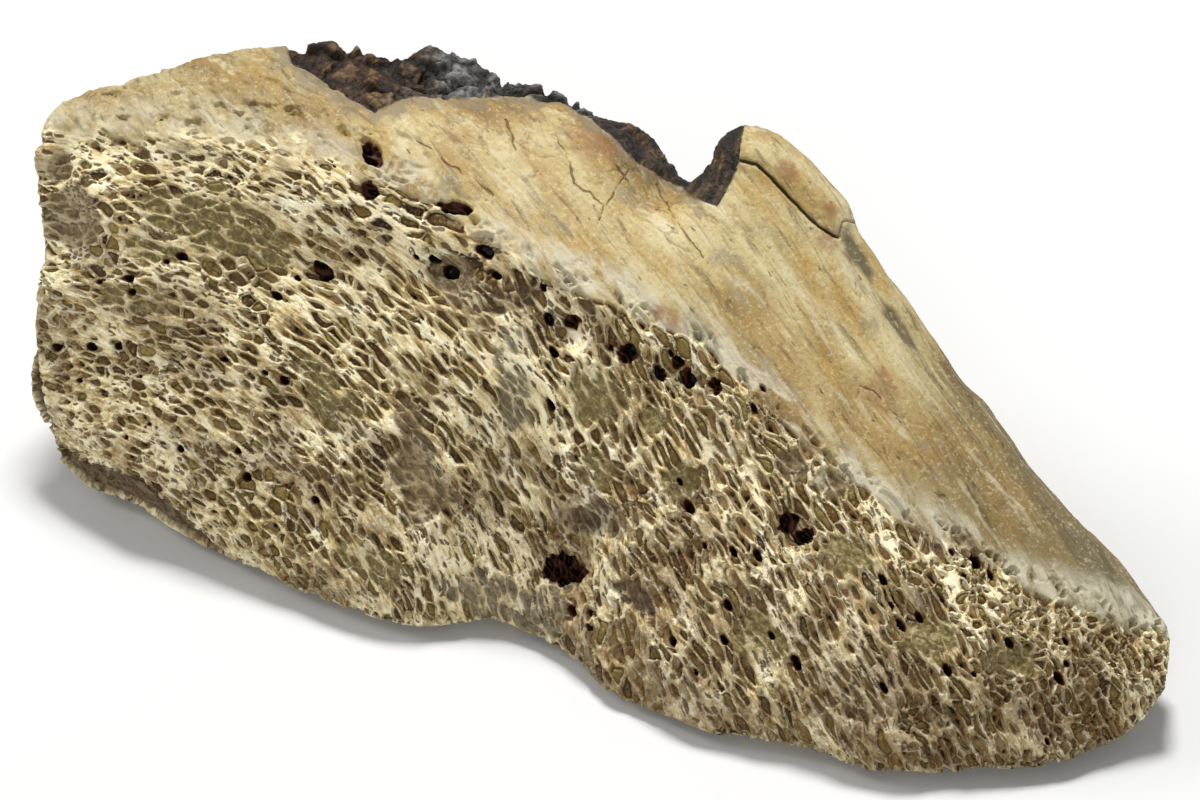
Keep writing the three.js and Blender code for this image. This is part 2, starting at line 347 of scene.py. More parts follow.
@dataclass(frozen=True)
class Outline:
    """A line across the photograph's frame, from left to right.

    Attributes:
        points_px: Its points.
    """

    points_px: tuple[tuple[float, float], ...]

    def down(self, across: Values) -> Values:
        """How far down the line lies at each pixel across."""
        return np.interp(across, *np.array(self.points_px).T)

    def distance(self, across: Values, down: Values) -> Values:
        """Finds how far pixels lie from the line.

        Args:
            across: Pixels from the frame's left edge.
            down: Pixels from the frame's top edge.

        Returns:
            The distances in pixels.
        """
        far_px = 1e6
        nearest = np.full(len(across), far_px)
        for (x0, y0), (x1, y1) in zip(self.points_px, self.points_px[1:]):
            run_x, run_y = x1 - x0, y1 - y0
            share = ((across - x0) * run_x + (down - y0) * run_y) / (run_x**2 + run_y**2)
            share = np.clip(share, 0.0, 1.0)
            away = np.hypot(across - x0 - share * run_x, down - y0 - share * run_y)
            nearest = np.minimum(nearest, away)
        return nearest


@dataclass(frozen=True)
class Spot:
    """A round or long place on the fragment, in the photograph's frame.

    Attributes:
        at_px: Its middle.
        reach_px: Half its width and half its height.
        turn_deg: How far it leans down to the right.
    """

    at_px: tuple[float, float]
    reach_px: tuple[float, float]
    turn_deg: float = 0.0

    def share(self, across: Values, down: Values) -> Values:
        """How far inside the spot pixels lie.

        Args:
            across: Pixels from the frame's left edge.
            down: Pixels from the frame's top edge.

        Returns:
            Numbers that are 1 at its middle, 0 at its rim and less outside.
        """
        turn = math.radians(self.turn_deg)
        x = across - self.at_px[0]
        y = down - self.at_px[1]
        along = (x * math.cos(turn) + y * math.sin(turn)) / self.reach_px[0]
        aside = (y * math.cos(turn) - x * math.sin(turn)) / self.reach_px[1]
        return 1.0 - np.hypot(along, aside)


class Landmarks:
    """What the photograph shows at known places, in its own frame of 1200 by 800 pixels.

    Attributes:
        RIDGE: The rim between the outer wall and the spongy front.
        CRUST_EDGE: The crust's border on the wall.
        UNDER_LIP: The edge over the lip under the left lobe.
        FLAKE_CRACK: The crack beside the raised flake, with a painted shadow along it.
        FLAKE_END: The crack at the flake's end, with a painted shadow along it.
        CRACKS: The wall's other cracks.
        DEEP_HOLES: The middles of the deepest small holes.
        BROWN_PORES: The larger pores with brown walls.
        VESSEL_HOLE: The large hole low in the left lobe.
        PATCHES: The spongy front's tan, brown, grey and olive patches of sediment.
        GREY_STREAKS: The grey streaks of the wall.
        OCHRE_PATCHES: The ochre patches of the wall.
        STAINS: The brown stains of the wall.
    """

    RIDGE = Outline((
        (0, 128), (45, 130), (200, 140), (300, 150), (370, 185), (440, 205), (480, 240), (560, 285),
        (620, 310), (700, 345), (760, 400), (800, 440), (850, 480), (900, 520), (960, 545), (1010, 580),
        (1080, 610), (1130, 625), (1200, 640),
    ))
    CRUST_EDGE = Outline((
        (0, 0), (280, 20), (292, 62), (330, 85), (375, 115), (410, 100), (470, 98), (560, 100), (600, 130),
        (640, 165), (692, 195), (718, 206), (737, 172), (745, 126), (780, 0), (1200, 0),
    ))
    UNDER_LIP = Outline((
        (0, 300), (34, 340), (44, 400), (56, 440), (75, 455), (98, 461), (143, 477), (164, 500), (190, 520),
        (209, 536), (235, 558), (300, 588), (350, 606), (400, 622), (560, 690), (640, 740), (800, 800),
        (1200, 830),
    ))
    FLAKE_CRACK = Outline((
        (738, 160), (755, 164), (771, 177), (789, 198), (805, 214), (819, 226), (838, 237),
    ))
    FLAKE_END = Outline(((838, 237), (843, 221), (858, 224)))
    CRACKS = (
        Outline(((506, 120), (513, 134), (516, 150))),
        Outline(((555, 127), (562, 147), (570, 163), (575, 184), (590, 196), (603, 205), (599, 219))),
        Outline(((637, 163), (624, 178), (615, 191), (604, 207))),
        Outline(((612, 160), (624, 178), (636, 192))),
        Outline(((417, 140), (447, 159), (475, 180), (493, 193))),
        Outline(((656, 184), (677, 221), (691, 244), (704, 258))),
        Outline(((851, 409), (860, 386), (874, 393), (897, 416))),
        Outline(((957, 379), (968, 397), (984, 418), (1004, 446))),
        Outline(((870, 222), (884, 248), (901, 272))),
    )
    DEEP_HOLES = (
        (435, 261), (450, 273), (416, 257), (485, 252), (496, 275), (542, 288), (549, 320), (572, 322),
        (554, 352), (550, 405), (610, 348), (626, 353), (670, 354), (677, 363), (689, 379), (714, 383),
        (660, 373), (753, 406), (680, 482), (688, 505), (703, 545), (732, 550), (757, 555), (763, 387),
        (727, 605), (770, 635), (587, 628), (569, 610), (589, 612), (671, 640), (723, 640), (695, 672),
        (795, 663), (893, 605), (918, 616), (902, 623), (975, 674), (1010, 644), (1066, 641), (1067, 663),
        (1060, 679), (1048, 742), (883, 688), (883, 579), (941, 599), (948, 669), (952, 551), (991, 573),
        (976, 560), (965, 574), (128, 279), (131, 292), (99, 282), (181, 256), (165, 262), (116, 347),
        (89, 347), (140, 376), (54, 348), (222, 359), (264, 373), (283, 382), (149, 424), (180, 449),
        (237, 451), (126, 437), (277, 296), (297, 278), (78, 381), (246, 477), (273, 526), (315, 500),
        (786, 520), (801, 535),
    )
    BROWN_PORES = (
        Spot((455, 208), (21, 8), 8), Spot((372, 154), (17, 10), 58), Spot((368, 190), (11, 12), 20),
        Spot((323, 271), (16, 8), 38), Spot((788, 522), (13, 12), 50), Spot((803, 535), (9, 11), 60),
        Spot((627, 354), (12, 12), 60), Spot((687, 378), (11, 8), 60), Spot((714, 385), (12, 8), 62),
        Spot((677, 364), (9, 6), 62), Spot((661, 374), (9, 7), 50), Spot((571, 323), (10, 9), 30),
    )
    VESSEL_HOLE = Spot((562, 570), (27, 17), 10)
    TAN_PATCHES = (
        Spot((415, 462), (27, 28)), Spot((425, 500), (24, 30), 60), Spot((410, 420), (16, 20)),
        Spot((790, 465), (24, 17), 30), Spot((830, 480), (18, 18)), Spot((452, 280), (26, 18), 40),
        Spot((60, 165), (15, 20), 20), Spot((70, 215), (27, 27)),
    )
    BROWN_PATCHES = (
        Spot((595, 520), (38, 20), 4), Spot((640, 600), (24, 12), 40), Spot((508, 300), (14, 30), 70),
    )
    OLIVE_PATCHES = (
        Spot((205, 222), (64, 36), 16), Spot((150, 250), (30, 18), 20), Spot((265, 245), (34, 18), 30),
        Spot((681, 482), (18, 15)), Spot((849, 556), (34, 22), 20), Spot((652, 421), (20, 14), 10),
        Spot((930, 640), (26, 20), 10), Spot((600, 400), (26, 40), -20), Spot((330, 400), (46, 22), 45),
        Spot((370, 560), (36, 18), 30), Spot((760, 640), (30, 22), 50), Spot((1000, 660), (36, 22), 10),
        Spot((590, 470), (24, 26), 70), Spot((140, 300), (40, 12), 15),
    )
    GREY_PATCHES = (
        Spot((518, 610), (58, 30), 8), Spot((516, 375), (20, 52), -8), Spot((470, 590), (40, 18), 12),
    )
    PATCHES = (TAN_PATCHES, BROWN_PATCHES, GREY_PATCHES, OLIVE_PATCHES)
    GREY_STREAKS = (
        Spot((975, 405), (58, 10), 52), Spot((1050, 500), (70, 14), 50), Spot((858, 256), (34, 8), 58),
        Spot((900, 330), (30, 7), 55), Spot((1100, 570), (60, 12), 46),
    )
    OCHRE_PATCHES = (
        Spot((797, 186), (60, 20), 42), Spot((470, 145), (44, 40)), Spot((545, 235), (46, 18), 20),
        Spot((600, 262), (30, 14), 30), Spot((720, 300), (60, 24), 50), Spot((820, 290), (60, 30), 52),
        Spot((900, 440), (50, 16), 52), Spot((200, 80), (60, 16), -12), Spot((660, 260), (40, 16), 45),
    )
    STAINS = (
        Spot((826, 240), (18, 14), 40), Spot((787, 170), (16, 9), 50), Spot((830, 206), (14, 9), 50),
        Spot((890, 384), (22, 7), 55), Spot((667, 318), (30, 10), 40), Spot((590, 142), (34, 14), 20),
        Spot((880, 400), (26, 14), 50),
    )


@dataclass
class Surface:
    """A mesh of many-sided faces as plain arrays, in millimetres.

    Attributes:
        points: The vertices, one a row.
        corners: The vertices of every face, one after the other.
        starts: Where each face begins in corners.
    """

    points: Points
    corners: Values
    starts: Values

    @classmethod
    def from_mesh(cls, mesh: bpy.types.Mesh) -> "Surface":
        """Reads a Blender mesh in metres.

        Args:
            mesh: The mesh to read.

        Returns:
            The surface.
        """
        points = np.empty(len(mesh.vertices) * 3, np.float32)
        mesh.vertices.foreach_get("co", points)
        corners = np.empty(len(mesh.loops), np.int32)
        mesh.loops.foreach_get("vertex_index", corners)
        starts = np.empty(len(mesh.polygons), np.int32)
        mesh.polygons.foreach_get("loop_start", starts)
        return cls(points.reshape(-1, 3).astype(np.float64) / METRES, corners, starts)

    def counts(self) -> Values:
        """How many corners each face has."""
        return np.diff(np.append(self.starts, len(self.corners)))

    def edges(self) -> Points:
        """Lists both ends of every face's every edge.

        Returns:
            The vertices, one edge a row.
        """
        following = np.arange(len(self.corners)) + 1
        ends = self.starts + self.counts() - 1
        following[ends] = self.starts
        return np.stack([self.corners, self.corners[following]], 1)

    def normals(self) -> Points:
        """Works out the outward direction at each vertex from the faces around it.

        Returns:
            The directions, one a row.
        """
        first = self.points[self.corners[self.starts]]
        second = self.points[self.corners[self.starts + 1]]
        third = self.points[self.corners[self.starts + 2]]
        last = self.points[self.corners[self.starts + self.counts() - 1]]
        facing = np.cross(third - first, last - second)
        owner = np.repeat(np.arange(len(self.starts)), self.counts())
        total = np.stack([
            np.bincount(self.corners, facing[owner, axis], len(self.points)) for axis in range(3)
        ], 1)
        return total / np.maximum(np.linalg.norm(total, axis=1, keepdims=True), 1e-9)

    def relax(self, rounds: int, share: float = 0.5) -> None:
        """Smooths the surface by moving each vertex towards the middle of its neighbours.

        Args:
            rounds: How many times to do it.
            share: How far of the way each vertex moves.
        """
        edges = self.edges()
        count = np.bincount(edges[:, 0], minlength=len(self.points))[:, None]
        for _ in range(rounds):
            around = np.stack([
                np.bincount(edges[:, 0], self.points[edges[:, 1], axis], len(self.points))
                for axis in range(3)
            ], 1)
            self.points += share * (around / count - self.points)

    def divide(self, chosen: Values) -> "Surface":
        """Parts each chosen four-sided face in four. Its neighbours take up the new vertices.

        Args:
            chosen: Whether each face is parted.

        Returns:
            The finer surface.
        """
        counts = self.counts()
        owner = np.repeat(np.arange(len(self.starts)), counts)
        edges = self.edges()
        key = np.sort(edges, 1).astype(np.int64)
        key = key[:, 0] * len(self.points) + key[:, 1]
        names, first, place = np.unique(key, return_index=True, return_inverse=True)
        parted = np.bincount(place, chosen[owner], len(names)) > 0
        middle_of = np.full(len(names), -1)
        middle_of[parted] = len(self.points) + np.arange(parted.sum())
        middles = self.points[edges[first[parted]]].mean(1)
        quads = np.flatnonzero(chosen)
        corner = self.starts[quads][:, None] + np.arange(4)
        vertex = self.corners[corner]
        middle = middle_of[place[corner]]
        centre = len(self.points) + len(middles) + np.arange(len(quads))
        centres = self.points[vertex].mean(1)
        small = np.stack([
            np.stack([vertex[:, k], middle[:, k], centre, middle[:, k - 1]], 1) for k in range(4)
        ], 1).reshape(-1)
        kept = ~chosen[owner]
        extra = middle_of[place]
        pair = np.stack([self.corners, extra], 1)[kept]
        keep = np.stack([np.ones(len(pair), bool), pair[:, 1] >= 0], 1)
        kept_counts = np.bincount(owner[kept], keep.sum(1), len(counts))[~chosen].astype(np.int64)
        corners = np.concatenate([pair[keep], small]).astype(np.int32)
        all_counts = np.concatenate([kept_counts, np.full(4 * len(quads), 4)])
        starts = np.concatenate([[0], np.cumsum(all_counts)[:-1]]).astype(np.int32)
        return Surface(np.concatenate([self.points, middles, centres]), corners, starts)

    def piece(self, chosen: Values) -> tuple["Surface", Values]:
        """Takes out some of the faces.

        Args:
            chosen: Whether each face belongs to the piece.

        Returns:
            The piece, and which of this surface's vertices its own are.
        """
        counts = self.counts()
        owner = np.repeat(np.arange(len(self.starts)), counts)
        used, corners = np.unique(self.corners[chosen[owner]], return_inverse=True)
        own_counts = counts[chosen]
        starts = np.concatenate([[0], np.cumsum(own_counts)[:-1]]).astype(np.int32)
        return Surface(self.points[used], corners.astype(np.int32), starts), used

    def to_object(self, name: str, normals: Points, marks: dict[str, Values]) -> bpy.types.Object:
        """Makes a Blender object of the surface.

        Args:
            name: The object's name.
            normals: The outward direction at each vertex.
            marks: Numbers or rows of three numbers at each vertex, for the finish to read.

        Returns:
            The object.
        """
        mesh = bpy.data.meshes.new(name)
        mesh.vertices.add(len(self.points))
        mesh.vertices.foreach_set("co", (self.points * METRES).astype(np.float32).reshape(-1))
        mesh.loops.add(len(self.corners))
        mesh.loops.foreach_set("vertex_index", self.corners)
        mesh.polygons.add(len(self.starts))
        mesh.polygons.foreach_set("loop_start", self.starts)
        mesh.update(calc_edges=True)
        mesh.validate()
        mesh.shade_smooth()
        for mark, values in marks.items():
            kind, key = ("FLOAT", "value") if values.ndim == 1 else ("FLOAT_VECTOR", "vector")
            layer = mesh.attributes.new(mark, kind, "POINT")
            layer.data.foreach_set(key, values.astype(np.float32).reshape(-1))
        mesh.normals_split_custom_set_from_vertices(normals.tolist())
        made = bpy.data.objects.new(name, mesh)
        bpy.context.collection.objects.link(made)
        return made


@dataclass
class Places:
    """Where the vertices lie before they are moved.

    Attributes:
        points: Their places in millimetres.
        normals: Their outward directions.
        across: Their pixels from the photograph's left edge.
        down: Their pixels from its top edge.
        grain: Their distances along and across the struts and towards the camera, in millimetres.
        hidden: How much they face away from the camera, from 0 to 1.
        mm_per_px: The size of a pixel.
        way: The way the struts run.
    """

    points: Points
    normals: Points
    across: Values
    down: Values
    grain: Points
    hidden: Values
    mm_per_px: float
    way: Grain

    @classmethod
    def of(cls, surface: Surface, view: PhotoView, way: Grain) -> "Places":
        """Reads the places off a surface.

        Args:
            surface: The surface.
            view: The photograph's camera.
            way: The way the struts run.

        Returns:
            The places.
        """
        normals = surface.normals()
        across, down, nearness = view.pixels(surface.points)
        along, aside = way.coordinates(across, down)
        rows = np.stack([along * view.mm_per_px, aside * view.mm_per_px, nearness], 1)
        _, _, back = view.axes()
        hidden = smooth_step(0.05, -0.15, normals @ back)
        return cls(surface.points.copy(), normals, across, down, rows, hidden, view.mm_per_px, way)

    def noise(self, size: float | Sequence[float], seed: int, layers: int = 1) -> Values:
        """Smooth noise over the fragment, as Chance.noise gives it."""
        return Chance.noise(self.points, size, seed, layers)

    def inside(self, spots: Sequence[Spot]) -> Values:
        """How far inside the nearest of some spots the vertices lie: 1 in its middle, 0 at its rim."""
        return np.max([spot.share(self.across, self.down) for spot in spots], axis=0)

    def past(self, line: Outline) -> Values:
        """How many pixels below a line the vertices lie."""
        return self.down - line.down(self.across)


@dataclass
class Regions:
    """How much each vertex belongs to each kind of surface, from 0 to 1.

    Attributes:
        wall: The smooth outer wall.
        crust: The dark crust.
        spongy: The spongy bone.
        tan: Its tan patches of sediment.
        brown: Its brown patches.
        grey: Its grey patches.
        olive: Its olive patches.
    """

    wall: Values
    crust: Values
    spongy: Values
    tan: Values
    brown: Values
    grey: Values
    olive: Values

    @classmethod
    def of(cls, places: Places) -> "Regions":
        """Works the regions out from the landmarks, and on the hidden back from the form.

        Args:
            places: The vertices.

        Returns:
            The regions.
        """
        points, hidden = places.points, places.hidden
        wander = places.noise(3.2, 5, 3)
        left = smooth_step(440, 280, places.across)
        above = (9.0 + 34.0 * left) * wander - places.past(Landmarks.RIDGE)
        seen_wall = smooth_step(-1.0, 1.0, above / (2.0 + 12.0 * left))
        seen_crust = smooth_step(-1.5, 1.5, 5.0 * wander - places.past(Landmarks.CRUST_EDGE))
        behind = smooth_step(-0.1, 0.3, places.normals[:, 1]) * smooth_step(0.8, 2.5, points[:, 2])
        back_crust = behind * smooth_step(1.2, -1.2, points[:, 0] + 1.0 + 11.0 * wander)
        back_wall = behind * (1 - back_crust) * smooth_step(3.0, 5.0, points[:, 2] + 2.0 * wander)
        crust = blend(seen_crust, back_crust, hidden)
        wall = blend(seen_wall * (1 - seen_crust), back_wall, hidden)
        spongy = np.clip(1 - wall - crust, 0, 1)
        ragged = 0.75 * places.noise(2.8, 61, 4)
        patches = (
            smooth_step(-0.05, 0.3, places.inside(group) + ragged) * (1 - hidden) * spongy
            for group in Landmarks.PATCHES
        )
        return cls(wall, crust, spongy, *patches)

    def thin_patches(self, edge: Values) -> None:
        """Lets the struts show through the patches of sediment.

        Args:
            edge: How far each vertex lies from the nearest strut's side, in millimetres.
        """
        between = 0.25 + 0.75 * smooth_step(-0.1, 0.0, edge)
        self.olive *= 0.4 + 0.6 * smooth_step(-0.07, 0.0, edge)
        self.tan *= 0.6 + 0.4 * between
        self.brown *= 0.5 + 0.5 * between
        self.grey *= between

    def plug(self) -> Values:
        """How much sediment closes the pores."""
        return np.max([self.tan, self.brown, self.grey, self.olive], axis=0)


@dataclass
class Net:
    """The net of struts at each vertex.

    Attributes:
        bent: The distances along and across the struts, bent as the struts are, in millimetres.
        past_ridge: Pixels below the wall's rim.
        near_ridge: How near to that rim, from 0 to 1.
        right: How much in the right lobe, from 0 to 1.
        band: How dense the bone is, from about -1 to 1.
        edge: Millimetres from the nearest strut's side, less than 0 on the strut.
        crosswise: How much that strut lies across the grain, from 0 to 1.
        chance: The pore's own random number, from 0 to 1.
        lower_gap: Millimetres from the nearest strut's middle in the lower net.
    """

    bent: Points
    past_ridge: Values
    near_ridge: Values
    right: Values
    band: Values
    edge: Values
    crosswise: Values
    chance: Values
    lower_gap: Values


@dataclass(frozen=True)
class SpongyBone:
    """The spongy bone: two nets of struts, one over the other, with sediment in most of the pores.

    Attributes:
        strut_mm: How far the struts stand out of the plain form.
        pore_mm: How far the gaps between the upper struts go down.
        lower_mm: How far the gaps between the lower struts go down past them.
        hole_mm: How deep the deep holes are.
        lip_mm: How far the lip under the left lobe is cut back.
        wave_mm: How high the broken front's waves are.
        hole_px: Half the width of a deep hole, and how much it varies.
        narrow: The pores of most of the bone.
        large: The pores beside the wall.
        round: The pores of the thin end.
        lower: The pores of the lower net.
        slits: The slits in the dense bone.
    """

    strut_mm: float = 0.2
    pore_mm: float = 1.3
    lower_mm: float = 0.9
    hole_mm: float = 1.3
    lip_mm: float = 0.8
    wave_mm: float = 0.17
    hole_px: tuple[float, float] = (3.0, 1.2)
    narrow: Cells = Cells((3.0, 0.78, 1.2), 11)
    large: Cells = Cells((2.4, 1.15, 1.6), 23)
    round: Cells = Cells((1.05, 0.88, 1.0), 31)
    lower: Cells = Cells((1.3, 0.62, 0.9), 37)
    slits: Cells = Cells((1.25, 0.36, 0.6), 41)

    def relief(self, places: Places, region: Regions, marks: dict[str, Values]) -> Values:
        """Works out the relief of the spongy bone.

        Args:
            places: The vertices.
            region: Their kinds of surface, whose patches are thinned over the struts.
            marks: Gets the marks of the spongy bone.

        Returns:
            How far each vertex rises, in millimetres.
        """
        net = self.net(places, region)
        seen = 1 - places.hidden
        grit = places.noise(0.55, 101, 2)
        open_share = self.open_share(places, region, net)
        chance = blend(net.chance, 0.5 + 0.5 * net.chance, region.wall)
        sediment = self.sediment(places, net, chance, grit)
        slit = self.slit_share(net)
        upper, lower = self.struts(net)
        upper -= 0.3 * slit
        bone = np.maximum(upper, lower)
        region.thin_patches(net.edge)
        plug = region.plug()
        height = np.maximum(bone, sediment) * open_share
        height = blend(height, -0.2 + 0.2 * grit + 0.15 * height, plug)
        hole = self.deep_holes(places, net) * seen
        height = np.minimum(height, -self.hole_mm * hole)
        under = smooth_step(0, 9, places.past(Landmarks.UNDER_LIP) + 7 * grit) * seen
        height = blend(height, 0.4 * height, under)
        marks.update({
            "pore": smooth_step(0.0, 0.08, net.edge) * open_share,
            "edge": net.edge,
            "over": np.where(open_share > 0.3, sediment - bone, -1.0),
            "inner": (lower - upper) * region.spongy,
            # The right lobe's pores are moved towards the dark end of the sediment's colours, the painted
            # shade of deep pores.
            "chance": chance + 0.2 * net.right * (1 - net.near_ridge) * seen,
            "band": net.band,
            "hole": hole,
            "plug": plug,
            # The finish paints shade by this depth: the deeper, the darker.
            "sunk": -height,
            "under": under,
            "slit": slit * region.spongy,
            "dirt": self.dirt(places, net, under) * region.spongy,
        })
        waves = Chance.noise(net.bent, (5.0, 1.9, 3.0), 107, 2)
        waves += Chance.noise(net.bent, (9.0, 4.5, 6.0), 109, 1)
        waves *= self.wave_mm * region.spongy
        return height + waves - 0.2 * region.tan - 0.25 * region.brown - self.lip_mm * under

    def net(self, places: Places, region: Regions) -> Net:
        """Finds the struts and the pores.

        Args:
            places: The vertices.
            region: Their kinds of surface.

        Returns:
            The net.
        """
        bend = np.stack([places.noise(3.4, seed, 3) for seed in (71, 72, 73)], 1)
        messy = smooth_step(-0.15, 0.15, (places.across - 985) / 180 + places.noise(5.0, 75, 2))
        bent = places.grain + bend * np.array([0.8, 0.62, 0.6]) * (1 + 0.8 * messy[:, None])
        past_ridge = places.past(Landmarks.RIDGE)
        near_ridge = smooth_step(80, 25, past_ridge)
        right = smooth_step(540, 640, places.across)
        big = 0.62 * near_ridge + 0.8 * smooth_step(0.05, 0.6, places.noise(8.0, 81, 2))
        kind = np.where(messy > 0.5, 2, np.where(big > 0.5, 1, 0))
        wall, crosswise, chance = self.pores(bent, kind)
        band = Chance.noise(bent, (6.5, 1.5, 2.4), 91, 3)
        change = np.minimum(abs(big - 0.5) * 12, abs(messy - 0.5) * 6)
        half_strut = 0.08 - 0.02 * crosswise + 0.24 * (1 - 0.45 * right) * smooth_step(0.12, 0.6, band)
        half_strut += 0.03 * near_ridge + 0.02 - 0.035 * right - 0.03 * region.olive
        half_strut += 0.05 * Chance.noise(bent, (2.0, 1.2, 1.2), 93, 2)
        half_strut += 0.06 * smooth_step(0.5, 0.0, change)
        half_strut += 0.15 * smooth_step(75, 0, past_ridge) * smooth_step(480, 300, places.across)
        lower_gap = self.lower.at(bent).wall_mm
        gap = wall - half_strut
        return Net(bent, past_ridge, near_ridge, right, band, gap, crosswise, chance, lower_gap)

    def pores(self, bent: Points, kind: Values) -> tuple[Values, Values, Values]:
        """Finds each vertex's pore among the narrow, the large and the round ones.

        Args:
            bent: The vertices' distances along and across the struts.
            kind: Which pores each vertex has: 0 narrow, 1 large, 2 round.

        Returns:
            The distance to the pore's wall, how much the wall lies across the grain, and the pore's chance.
        """
        wall, crosswise, chance = (np.zeros(len(kind)) for _ in range(3))
        for number, cells in enumerate((self.narrow, self.large, self.round)):
            chosen = np.flatnonzero(kind == number)
            found = cells.at(bent[chosen])
            wall[chosen] = found.wall_mm
            crosswise[chosen] = found.crosswise
            chance[chosen] = found.chance
        return wall, crosswise, chance

    def struts(self, net: Net) -> tuple[Values, Values]:
        """Works out how high the struts stand.

        Args:
            net: The net of struts.

        Returns:
            The heights of the upper net and of the lower one, in millimetres.
        """
        upper = self.strut_mm * smooth_step(0.03, -0.09, net.edge)
        upper -= self.pore_mm * smooth_step(-0.03, 0.24, net.edge)
        upper -= 0.34 * smooth_step(0.4, 0.8, net.crosswise) * smooth_step(0.25, 0.0, net.band)
        lower = -0.32 - 0.2 * net.chance
        lower -= self.lower_mm * smooth_step(0.05, 0.28, net.lower_gap - 0.03 * net.band)
        return upper, lower

    @staticmethod
    def sediment(places: Places, net: Net, chance: Values, grit: Values) -> Values:
        """Works out how high the sediment stands, near the top in most pores and deep down in the others.

        Args:
            places: The vertices.
            net: The net of struts.
            chance: The pores' random numbers.
            grit: The sediment's grain, from about -1 to 1.

        Returns:
            Its height in millimetres.
        """
        filled_share = 0.66 - 0.26 * net.right
        filled = chance < filled_share
        emptied = -0.6 - 1.1 * (chance - filled_share) / (1 - filled_share)
        height = np.where(filled, -0.26 - 0.3 * chance, emptied) + 0.08 * grit
        height += 0.24 * smooth_step(0.04, 0.26, net.edge) * filled
        return height - 0.3 * smooth_step(0.1, -0.4, places.noise(5.0, 103, 2))

    def slit_share(self, net: Net) -> Values:
        """How much each vertex lies in a slit of the dense bone.

        Args:
            net: The net of struts.

        Returns:
            Numbers from 0 to 1.
        """
        dense = np.flatnonzero((net.band > 0.1) | (net.near_ridge > 0.4))
        found = self.slits.at(net.bent[dense])
        open_slit = smooth_step(0.02, 0.09, found.wall_mm) * (found.chance > 0.5)
        slit = np.zeros(len(net.band))
        slit[dense] = open_slit * smooth_step(0.02, -0.06, net.edge[dense])
        return slit

    @staticmethod
    def open_share(places: Places, region: Regions, net: Net) -> Values:
        """How open the bone is: wholly in the spongy part, and in scattered pores of the wall beside it.

        Args:
            places: The vertices.
            region: Their kinds of surface.
            net: The net of struts.

        Returns:
            Numbers from 0 to 1.
        """
        left = smooth_step(460, 330, places.across)
        beside = smooth_step(95, 10, -net.past_ridge) * left
        beside = np.maximum(beside, 0.9 * smooth_step(26, 8, -net.past_ridge)) * region.wall
        few = smooth_step(0.42, 0.55, net.chance) * left + smooth_step(0.5, 0.7, net.chance)
        return np.clip(region.spongy + beside * np.minimum(few, 1), 0, 1)

    @staticmethod
    def dirt(places: Places, net: Net, under: Values) -> Values:
        """How dirty the spongy bone is: more so low down, in the right lobe and under the lip.

        Args:
            places: The vertices.
            net: The net of struts.
            under: How much each vertex lies under the lip, from 0 to 1.

        Returns:
            Numbers from 0 to 1.
        """
        low = smooth_step(50, 300, net.past_ridge) * (1 - places.hidden) + 0.6 * places.hidden
        dirt = 0.15 + 0.45 * low + 0.42 * net.right * (1 - net.near_ridge)
        dirt += 0.2 * smooth_step(850, 1050, places.across) + 0.5 * places.noise(7.0, 113, 3) + 0.6 * under
        pale_band = abs(places.across - 370 - 0.3 * (places.down - 310))
        return np.clip(dirt - 0.45 * smooth_step(90, 0, pale_band), 0, 1)

    def deep_holes(self, places: Places, net: Net) -> Values:
        """The deep holes at known places.

        Args:
            places: The vertices.
            net: The net of struts.

        Returns:
            How much each vertex lies in a hole, from 0 to 1.
        """
        ragged = 0.3 * places.noise(0.7, 111, 2)
        hole = np.zeros(len(ragged))
        around_px, longer, step = 16, 2.0, 2.4
        mean, change = self.hole_px
        grain_px = places.grain / places.mm_per_px
        for index, (x, y) in enumerate(Landmarks.DEEP_HOLES):
            near = (abs(places.across - x) < around_px) & (abs(places.down - y) < around_px)
            near = np.flatnonzero(near)
            middle = places.way.coordinates(np.array([float(x)]), np.array([float(y)]))
            reach = mean + change * math.sin(index * step)
            along = (grain_px[near, 0] - middle[0]) / (longer * reach)
            aside = (grain_px[near, 1] - middle[1]) / reach
            away = np.hypot(along, aside)
            hole[near] = np.maximum(hole[near], smooth_step(1.2, 0.45, away + ragged[near]))
        large = places.inside((*Landmarks.BROWN_PORES, Landmarks.VESSEL_HOLE)) + 0.9 * ragged
        struts = 0.45 + 0.55 * smooth_step(0.05, 0.16, net.lower_gap)
        return np.maximum(hole, smooth_step(0.02, 0.45, large) * struts)


